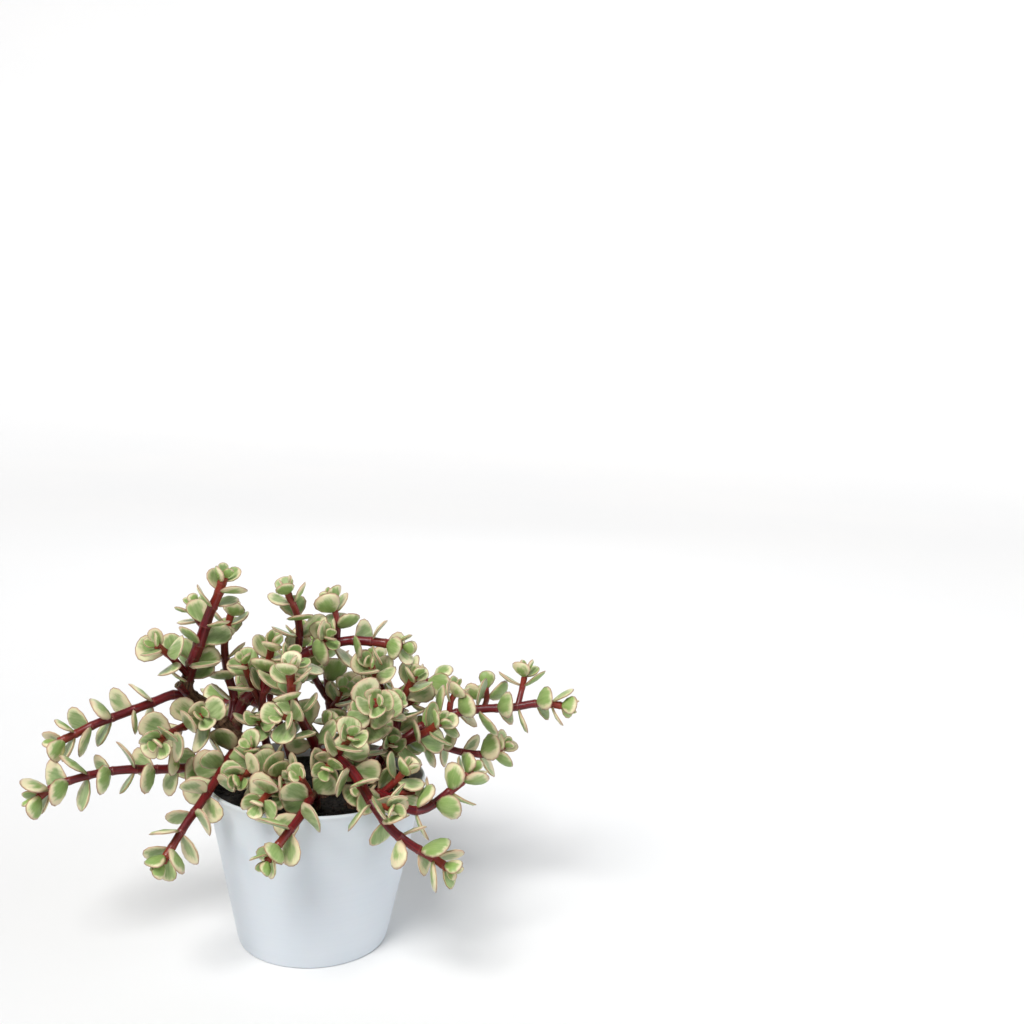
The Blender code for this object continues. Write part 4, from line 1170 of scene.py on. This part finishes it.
def leaf_finish():
    """Green middle, streaks, uneven cream margin and rose edge, by the leaf's own place and draws."""
    made, tree, shader, place = new_finish("variegated leaf")
    spot = carried(tree, "leaf_spot", "Vector")
    own_draw, young, cream_share = split(tree, carried(tree, "leaf_draw", "Vector"))
    margin, upper = carried(tree, "margin"), carried(tree, "upper_face")
    broad = {"Place": spot, "Squeeze": (5.0, 1.3, 1.0), "Low": 0.30, "High": 0.72}
    narrow = {"Place": spot, "Squeeze": (15.0, 1.6, 1.3), "Low": 0.38, "High": 0.74}
    streaks, threads = use_group(tree, STREAKS, broad), use_group(tree, STREAKS, narrow)
    patches = use_group(tree, MOTTLE, {"Place": spot, "Size": 0.42, "Low": 0.34, "High": 0.66})
    green = leaf_green(tree, own_draw, young, upper, streaks, threads)
    mask = cream_mask(tree, spot, own_draw, cream_share, margin, streaks, patches)
    colour = mix_colour(tree, mask, green, mix_colour(tree, patches, CREAM, WARM_CREAM))
    colour = rose_over(tree, colour, ROSE_FLUSH, margin, patches, FLUSH_FROM, FLUSH_DEPTH)
    colour = rose_over(tree, colour, ROSE_EDGE, margin, patches, EDGE_FROM, EDGE_DEPTH)
    feed(tree, shader, {"Base Color": colour, "Roughness": step_between(tree, streaks, 0, 1, *LEAF_ROUGHNESS),
                        "Specular IOR Level": 0.36, "Subsurface Weight": 0.08,
                        "Subsurface Radius": (0.6, 1.0, 0.3), "Subsurface Scale": 0.0012})
    fine = use_group(tree, RELIEF, {"Place": place, "Grain": 0.0009})
    bump_into(tree, shader, calc(tree, "MULTIPLY_ADD", threads, 0.5, fine), depth=0.00012, strength=0.5)
    return made


LEAF_FINISH = leaf_finish()
print("leaf finish:", len(LEAF_FINISH.node_tree.nodes), "nodes")

# %% [markdown]
# ## The stems
#
# A young stem is a glossy, dark red rod in sections: a low ring marks where each leaf pair grew, and
# each section is a touch thicker or thinner than the last. The old stem is brown bark with flakes and
# lengthwise cracks. A curve with a bevel would give an even hose; a profile carried along the centre
# line can swell at every pair and change from section to section.

# %% Stem surface
STEM_AROUND = 14
SECTION_STEP = 1.4 * MM
RING_REACH = 0.55 * MM
CLOSEST_RINGS = 0.18 * MM
LOOK = 0.8 * MM
# The swell at a leaf pair as a share of the radius, and its length: a wide one and a narrow one on it
SWELLS = [(0.10, 1.3 * MM), (0.05, 0.35 * MM)]
YOUNG_SWELL = 0.6
OLDER_FROM, OLDER_SPAN = 1.4 * MM, 1.6 * MM
SECTION_CHANGE = 0.018
SECTION_SLIMMER = 0.02
TIP_LEAST = 0.04
SKIN_UNIT = 10 * MM
TIP_REDDENS = 26 * MM
PAIR_NEAR = 1 * MM
# The bark's ridges and cracks: their depth as a share of the radius, how many go round, and how they wind
RIDGE_DEPTH, RIDGE_COUNT, RIDGE_BEND, RIDGE_WAVE = 0.05, 5, 3, 9 * MM
CRACK_DEPTH, CRACK_COUNT, CRACK_WAVE = 0.025, 9, 2.1 * MM
BARK_FROM, BARK_SPAN = 2.9 * MM, 1.1 * MM
FOOT_BARK, FOOT_BARK_LENGTH = 0.85, 26 * MM


def pair_distances(axis, own):
    """Where leaf pairs grew: the pairs there are, and below them older ones, a full step apart."""
    grown = sorted({round(found[2], 6) for found in own})
    lowest = grown[0] if grown else axis.length
    older = np.arange(lowest - LEAF_GAPS[-1], 0, -LEAF_GAPS[-1])
    return np.array(sorted(list(older) + grown))


def section_distances(axis, pairs):
    """Even steps along the centre line, with one ring on each pair and one on each side of it."""
    even = np.linspace(0, axis.length, max(4, round(axis.length / SECTION_STEP)))
    near = np.concatenate([pairs - RING_REACH, pairs, pairs + RING_REACH])
    every = np.sort(np.concatenate([even, near]))
    every = every[(every >= 0) & (every <= axis.length)]
    keep = np.concatenate([[True], np.diff(every) > CLOSEST_RINGS])
    return every[keep]


def read_between(distances, axis, rows):
    """Rows of three numbers, one for each point of the centre line, read at distances between them."""
    return np.stack([np.interp(distances, axis.distances, rows[:, k]) for k in range(3)], axis=1)


def along_axis(axis, distances):
    """Centre and two sideways directions at each distance, read between the points of the centre line."""
    points = np.array([p[:] for p in axis.points])
    sides = np.array([s[:] for s in axis.sides])
    centre, side = read_between(distances, axis, points), read_between(distances, axis, sides)
    before, after = (read_between(distances + step, axis, points) for step in (-LOOK, LOOK))
    ahead = after - before
    ahead /= np.linalg.norm(ahead, axis=1, keepdims=True)
    side -= ahead * (side * ahead).sum(axis=1, keepdims=True)
    side /= np.linalg.norm(side, axis=1, keepdims=True)
    return centre, side, np.cross(ahead, side)


def stem_rings(axis, pairs, seed):
    """Rings round the centre line; the radius swells at a pair, differs by section, falls to the tip."""
    draw = np.random.default_rng(seed)
    distances = section_distances(axis, pairs)
    centre, side, up = along_axis(axis, distances)
    shoot = axis.shoot
    radius = (shoot.base + (shoot.tip - shoot.base) * distances / axis.length) * MM
    near = np.abs(distances[:, None] - pairs[None]).min(axis=1)
    older = np.clip((radius - OLDER_FROM) / OLDER_SPAN, 0, 1)
    swell = sum(high * np.exp(-(near / long) ** 2) for high, long in SWELLS)
    section = np.searchsorted(pairs, distances)
    uneven = draw.normal(0, SECTION_CHANGE, len(pairs) + 1)[section]
    radius = radius * (1 + swell * (YOUNG_SWELL + (1 - YOUNG_SWELL) * older) + uneven - SECTION_SLIMMER)
    last = (axis.length - distances) / TIP_TAPER
    radius *= np.sqrt(np.clip(last * (2 - last), TIP_LEAST, 1)) * (last < 1) + (last >= 1)
    turn = np.linspace(0, 2 * np.pi, STEM_AROUND, endpoint=False)
    bark = bark_share(shoot, distances, radius)
    bend = RIDGE_BEND * np.sin(distances[:, None] / RIDGE_WAVE)
    ridge = 1 + bark[:, None] * RIDGE_DEPTH * np.sin(RIDGE_COUNT * turn[None] + bend)
    ridge += bark[:, None] * CRACK_DEPTH * np.sin(CRACK_COUNT * turn[None] - distances[:, None] / CRACK_WAVE)
    spokes = np.cos(turn)[None, :, None] * side[:, None] + np.sin(turn)[None, :, None] * up[:, None]
    rings = centre[:, None] + spokes * (radius[:, None] * ridge)[..., None]
    around = np.stack([np.cos(turn), np.sin(turn)], axis=1)
    skin = np.concatenate([np.broadcast_to(around, (len(radius), STEM_AROUND, 2)),
                           np.repeat(distances[:, None, None] / SKIN_UNIT, STEM_AROUND, axis=1)], axis=-1)
    tip = np.clip((axis.length - distances) / TIP_REDDENS, 0, 1)
    told = np.stack([bark, tip, np.clip(near / PAIR_NEAR, 0, 1)], axis=1)
    return rings, skin, np.repeat(told[:, None], STEM_AROUND, axis=1), centre


def bark_share(shoot, distances, radius):
    """How woody a stem is: by its thickness, and near the foot of any rooted stem."""
    thick = np.clip((radius - BARK_FROM) / BARK_SPAN, 0, 1)
    foot = FOOT_BARK * np.clip(1 - (distances - ROOT_DEPTH) / FOOT_BARK_LENGTH, 0, 1) * (shoot in ROOTED)
    return np.clip(np.maximum(thick, foot), 0, 1)


def stems_piece(name, numbers, seed):
    """All shoots of one stem as one piece: each is a closed tube with a pole at its foot and its tip."""
    points, skins, told, faces, start = [], [], [], [], 0
    for number in numbers:
        pairs = pair_distances(axes[number], leaves[number])
        rings, skin, told_here, centre = stem_rings(axes[number], pairs, seed + number)
        rows = len(rings)
        ring = np.arange(STEM_AROUND)
        foot, tip = rows * STEM_AROUND, rows * STEM_AROUND + 1
        faces += [grid_quads(rows, STEM_AROUND) + start,
                  fans(ring, foot, turned=True) + start,
                  fans(ring + (rows - 1) * STEM_AROUND, tip) + start]
        points.append(np.vstack([rings.reshape(-1, 3), centre[[0, -1]]]))
        skins.append(np.vstack([skin.reshape(-1, 3), skin[[0, -1], 0]]))
        told.append(np.vstack([told_here.reshape(-1, 3), told_here[[0, -1], 0]]))
        start += rows * STEM_AROUND + 2
    quads = [part for part in faces if part.shape[1] == 4]
    triangles = [part for part in faces if part.shape[1] == 3]
    values = {"stem_skin": np.vstack(skins), "stem_told": np.vstack(told)}
    return piece_from(name, np.vstack(points), [np.vstack(quads), np.vstack(triangles)], values)


# %% [markdown]
# The skin's streaks run along the stem, so its pattern isn't laid out in space: each point carries the
# cosine and sine of its turn and its distance from the foot. It also tells how woody the stem is there,
# how far the tip is, and how far the next pair, where a fine pale line runs round.

# %% Stem finish
MAROON = (0.165, 0.0075, 0.0115, 1)
WINE = (0.070, 0.004, 0.009, 1)
TIP_RED = (0.330, 0.048, 0.022, 1)
RING_LINE = (0.21, 0.055, 0.04, 1)
BARK_BROWN = (0.165, 0.088, 0.052, 1)
BARK_PALE = (0.250, 0.150, 0.095, 1)
BARK_DARK = (0.030, 0.015, 0.011, 1)
STEM_ROUGHNESS = (0.3, 0.8)
STEM_COAT = (0.12, 0.0)
TIP_RED_WITHIN, TIP_RED_SHARE = (0.0, 0.9), (0.62, 0.0)
LINE_WITHIN, LINE_SHARE = (0.15, 0.5), (0.5, 0.0)
FLAKE_SHARE, CRACK_SHARE = 0.65, 0.85
BARK_RAGGED, BARK_EDGE = 0.35, (0.3, 0.75)
BARK_RELIEF, RED_RELIEF = 0.85, 0.15


def stem_finish():
    """Glossy dark red with streaks and a pale ring line at each pair, turning to flaky brown bark."""
    made, tree, shader, place = new_finish("red stem and bark")
    skin = carried(tree, "stem_skin", "Vector")
    bark_base, tip_far, ring_far = split(tree, carried(tree, "stem_told", "Vector"))
    streaks = use_group(tree, STREAKS, {"Place": skin, "Squeeze": (2.6, 2.6, 0.7), "Low": 0.35, "High": 0.68})
    cracks = use_group(tree, STREAKS, {"Place": skin, "Squeeze": (4.5, 4.5, 1.6), "Low": 0.5, "High": 0.62})
    flakes = use_group(tree, MOTTLE, {"Place": place, "Size": 0.0028, "Low": 0.5, "High": 0.66})
    red = mix_colour(tree, streaks, MAROON, WINE)
    red = mix_colour(tree, step_between(tree, tip_far, *TIP_RED_WITHIN, *TIP_RED_SHARE), red, TIP_RED)
    red = mix_colour(tree, step_between(tree, ring_far, *LINE_WITHIN, *LINE_SHARE), red, RING_LINE)
    brown = mix_colour(tree, calc(tree, "MULTIPLY", flakes, FLAKE_SHARE), BARK_BROWN, BARK_PALE)
    brown = mix_colour(tree, calc(tree, "MULTIPLY", cracks, CRACK_SHARE), brown, BARK_DARK)
    ragged = calc(tree, "MULTIPLY_ADD", calc(tree, "SUBTRACT", flakes, 0.5), BARK_RAGGED, bark_base)
    bark = step_between(tree, ragged, *BARK_EDGE)
    feed(tree, shader, {"Base Color": mix_colour(tree, bark, red, brown), "Specular IOR Level": 0.32,
                        "Roughness": step_between(tree, bark, 0, 1, *STEM_ROUGHNESS),
                        "Coat Weight": step_between(tree, bark, 0, 1, *STEM_COAT), "Coat Roughness": 0.2})
    fine = use_group(tree, RELIEF, {"Place": place, "Grain": 0.0008})
    rough = calc(tree, "MULTIPLY", calc(tree, "SUBTRACT", fine, cracks),
                 calc(tree, "MULTIPLY_ADD", bark, BARK_RELIEF, RED_RELIEF))
    bump_into(tree, shader, rough, depth=0.0005, strength=0.6)
    return made


STEM_FINISH = stem_finish()
print("stem finish:", len(STEM_FINISH.node_tree.nodes), "nodes")

# %% [markdown]
# One loop now dresses the fourteen rooted stems. Each gets two pieces, its wood and its leaves, because
# the two have different finishes. Together they stand for the stem's one solid in the frame.

# %% Dress every rooted stem
WOOD_SEED, LEAF_SEED, SEED_STEP = 500, 900, 40

for order, stem_name in enumerate(STEM_NAMES):
    own = [k for k, axis in enumerate(axes) if axis.shoot.stem == stem_name]
    stems = stems_piece(stem_name + "_wood", own, WOOD_SEED + SEED_STEP * order)
    wear(stems, STEM_FINISH, "foliage", stem_name)
    grown = [found for k in own for found in leaves[k]]
    places = np.array([[list(row) for row in found[0]] for found in grown])
    lengths = np.array([found[1] for found in grown])
    foliage = leaves_piece(stem_name + "_leaves", places, lengths, LEAF_SEED + SEED_STEP * order)
    wear(foliage, LEAF_FINISH, "foliage", stem_name)
    print(f"{stem_name}: {len(own)} shoots, {len(grown)} leaves, {len(stems.data.polygons)} stem faces")

# %% [markdown]
# ## Root bumps and a cut stub
#
# Old stems carry small rough bumps where air roots wait, in a ring above some pairs. Where the woody
# stem turns upwards one shoot was cut off: a short stub with a dry, pale, hollow end. These are tiny, but
# a plant without them looks cast in plastic. The bumps reuse the lumps of the soil's crumbs, half sunk.

# %% Root bumps
BUMP_SEED = 21
BUMPED_FROM = 2.5
BUMPS_ABOVE, BUMPS_BELOW = 16 * MM, 0.62
BUMPS_EACH = (2, 6)
BUMP_RISES = (0.4, 2.6)
BUMP_SIZES = (0.25, 0.62)
BUMP_SHAPE = np.array([[1, 0.9, 0.85]])
BUMP_ROSE = (0.20, 0.055, 0.045, 1)
BUMP_TAN = (0.42, 0.24, 0.17, 1)
BUMP_SPOT = (0.09, 0.03, 0.025, 1)


def bumps_piece():
    """Small lumps that sit half in the skin, round the pairs low on the thicker stems."""
    draw = np.random.default_rng(BUMP_SEED)
    middles = []
    for number, axis in enumerate(axes):
        if axis.shoot.base < BUMPED_FROM:
            continue
        pairs = pair_distances(axis, leaves[number])
        low = pairs[(pairs > BUMPS_ABOVE) & (pairs < BUMPS_BELOW * axis.length)]
        for distance in low[::2]:
            count = int(draw.integers(*BUMPS_EACH))
            at = distance + draw.uniform(*BUMP_RISES, count) * MM
            centre, side, up = along_axis(axis, at)
            turn = draw.uniform(0, 2 * np.pi, count)[:, None]
            radius = np.array([axis.radius(d) for d in at])[:, None]
            middles.append(centre + radius * (np.cos(turn) * side + np.sin(turn) * up))
    middles = np.vstack(middles)
    sizes = MM * draw.uniform(*BUMP_SIZES, (len(middles), 1)) * BUMP_SHAPE
    return lump_cloud("air_root_bumps", middles, sizes, BUMP_SEED + 1)


def bumps_finish():
    """Dry, pale rose to tan, a little different from bump to bump."""
    made, tree, shader, place = new_finish("dry root bump")
    spots = use_group(tree, MOTTLE, {"Place": place, "Size": 0.0006, "Low": 0.4, "High": 0.6})
    base = mix_colour(tree, carried(tree, "tone"), BUMP_ROSE, BUMP_TAN)
    spotted = mix_colour(tree, calc(tree, "MULTIPLY", spots, 0.5), base, BUMP_SPOT)
    feed(tree, shader, {"Base Color": spotted, "Roughness": 0.65})
    return made


bumps = wear(bumps_piece(), bumps_finish(), "foliage")
print("bumps:", len(bumps.data.polygons), "faces")

# %% [markdown]
# The stub is a short turned shape, but its cut is ragged: the radius swings a little with the turn. The
# profile goes over the rim and down into the hollow, and each ring tells how far it lies in the cut.

# %% Cut stub
STUB_FOOT = Vector((-71, 13, 135)) * MM
STUB_TOP = Vector((-75.5, 9.5, 141)) * MM
STUB_RADIUS = 2.3 * MM
STUB_AROUND = 20
STUB_HOLLOW = 0.84
# Share of the stub's length and share of its radius, from the foot over the rim into the hollow
STUB_PROFILE = np.array([(0, 1.1), (0.35, 1.0), (0.7, 0.97), (0.9, 1.02), (0.97, 1.05),
                         (1.0, 0.95), (0.99, 0.72), (0.93, 0.6), (0.86, 0.3)])
RAGGED_WIDE, RAGGED_FINE = 0.04, 0.03
CUT_FROM_RING, CUT_RINGS = 3.5, 1.5
CUT_TAN = (0.42, 0.30, 0.22, 1)
CUT_HEART = (0.13, 0.07, 0.05, 1)
STUB_ROUGHNESS = (0.35, 0.85)


def stub_piece():
    """A short tube from foot to cut: out to the rim, over it, and into a shallow hollow at its end."""
    ahead = np.array((STUB_TOP - STUB_FOOT).normalized()[:])
    side = np.cross(ahead, [0, 0, 1])
    side /= np.linalg.norm(side)
    up = np.cross(ahead, side)
    long = (STUB_TOP - STUB_FOOT).length
    reach, radius = STUB_PROFILE[:, 0] * long, STUB_PROFILE[:, 1] * STUB_RADIUS
    turn = np.linspace(0, 2 * np.pi, STUB_AROUND, endpoint=False)
    ragged = 1 + RAGGED_WIDE * np.sin(3 * turn + 1)[None] + RAGGED_FINE * np.sin(7 * turn)[None]
    spokes = np.cos(turn)[:, None] * side + np.sin(turn)[:, None] * up
    centre = np.array(STUB_FOOT[:]) + reach[:, None, None] * ahead
    rings = centre + (radius[:, None] * ragged)[..., None] * spokes
    rows = len(STUB_PROFILE)
    cut = np.repeat(np.clip((np.arange(rows) - CUT_FROM_RING) / CUT_RINGS, 0, 1), STUB_AROUND)
    ends = np.array(STUB_FOOT[:]) + np.array([[0], [STUB_HOLLOW * long]]) * ahead
    ring, count = np.arange(STUB_AROUND), rows * STUB_AROUND
    faces = [grid_quads(rows, STUB_AROUND), fans(ring, count, turned=True),
             fans(ring + count - STUB_AROUND, count + 1)]
    values = {"cut": np.concatenate([cut, [0, 1]])}
    return piece_from("cut_stub", np.vstack([rings.reshape(-1, 3), ends]), faces, values)


def stub_finish():
    """Dark wine-red skin that turns to a dry, pale tan cut with a brown heart."""
    made, tree, shader, place = new_finish("cut stub")
    cut = carried(tree, "cut")
    spots = use_group(tree, MOTTLE, {"Place": place, "Size": 0.0011, "Low": 0.4, "High": 0.6})
    skin, dry = mix_colour(tree, spots, MAROON, WINE), mix_colour(tree, spots, CUT_TAN, CUT_HEART)
    feed(tree, shader, {"Base Color": mix_colour(tree, cut, skin, dry),
                        "Roughness": step_between(tree, cut, 0, 1, *STUB_ROUGHNESS)})
    fine = use_group(tree, RELIEF, {"Place": place, "Grain": 0.0006})
    bump_into(tree, shader, fine, depth=0.0003, strength=0.6)
    return made


stub = wear(stub_piece(), stub_finish(), "foliage")
print("stub:", len(stub.data.polygons), "faces")

# %% [markdown]
# ## Floor and light
#
# The plant stands on a plain pale floor in a soft studio light. Studios hide the line between floor and
# wall with a sheet that bends up behind the object. Here the sheet bends up all round, as a wide shallow
# bowl, so it serves a camera on any side. A broad, distant light gives one even brightness over it; two
# area lights add a cool side from the right and a weak edge from behind.

# %% Stage
FLOOR_SHADE = (0.820, 0.825, 0.835, 1)
FLOOR_LIGHT = (0.835, 0.835, 0.840, 1)
FLAT_RADIUS, BOWL_RADIUS, BOWL_RISE = 2.0, 6.0, 3.4
FIRST_RADIUS = 0.5
BOWL_AROUND, BOWL_RINGS = 96, 25


def floor_finish():
    """Plain matt off-white, with cloudy differences that are only just there."""
    made, tree, shader, place = new_finish("pale floor")
    cloud = use_group(tree, MOTTLE, {"Place": place, "Size": 0.6, "Low": 0.3, "High": 0.7})
    feed(tree, shader, {"Base Color": mix_colour(tree, cloud, FLOOR_SHADE, FLOOR_LIGHT), "Roughness": 0.9})
    return made


def bowl_piece():
    """A turned sheet: flat to one radius, and beyond it height = rise times the share outwards cubed."""
    radius = np.concatenate([[FIRST_RADIUS], np.linspace(FLAT_RADIUS, BOWL_RADIUS, BOWL_RINGS)])
    share = np.clip((radius - FLAT_RADIUS) / (BOWL_RADIUS - FLAT_RADIUS), 0, 1)
    turn = np.linspace(0, 2 * np.pi, BOWL_AROUND, endpoint=False)
    height = np.repeat((BOWL_RISE * share ** 3)[:, None], BOWL_AROUND, axis=1)
    rings = np.stack([np.outer(radius, np.cos(turn)), np.outer(radius, np.sin(turn)), height], axis=-1)
    points = np.vstack([rings.reshape(-1, 3), [[0, 0, 0]]])
    middle = fans(np.arange(BOWL_AROUND), len(points) - 1)
    return piece_from("pale_floor", points, [grid_quads(len(radius), BOWL_AROUND)[:, ::-1], middle])


floor = bowl_piece()
floor.data.materials.append(floor_finish())
print("floor:", len(floor.data.polygons), "faces")

# %% Lights
SUN_FROM = Vector((-0.5, -0.85, 1.25))
SUN_STRENGTH, SUN_WIDTH, SUN_COLOUR = 2.9, math.radians(26), (1.0, 0.985, 0.96)
LIT_MIDDLE = Vector((0, 0, 0.11))


def area_light(name, place, size, power, colour):
    """A square light that faces the middle of the plant."""
    lamp = bpy.data.lights.new(name, "AREA")
    lamp.size, lamp.energy, lamp.color = size, power, colour
    made = bpy.data.objects.new(name, lamp)
    made.location = place
    made.rotation_euler = (LIT_MIDDLE - Vector(place)).to_track_quat("-Z", "Y").to_euler()
    bpy.context.collection.objects.link(made)


sun = bpy.data.objects.new("broad_light", bpy.data.lights.new("broad_light", "SUN"))
sun.data.energy, sun.data.angle, sun.data.color = SUN_STRENGTH, SUN_WIDTH, SUN_COLOUR
sun.rotation_euler = SUN_FROM.to_track_quat("Z", "Y").to_euler()
bpy.context.collection.objects.link(sun)
area_light("window", place=(1.1, -0.5, 0.55), size=0.8, power=3.4, colour=(0.84, 0.92, 1.0))
area_light("rim_light", place=(0.2, 1.1, 0.8), size=0.7, power=1.6, colour=(1.0, 1.0, 1.0))

world = bpy.data.worlds.new("studio air")
world.use_nodes = True
sky = world.node_tree.nodes["Background"]
feed(world.node_tree, sky, {"Color": (0.95, 0.97, 1.0, 1), "Strength": 0.28})
bpy.context.scene.world = world
bpy.context.scene.view_settings.view_transform = "Standard"
print("lights:", [lamp.name for lamp in bpy.data.lights])
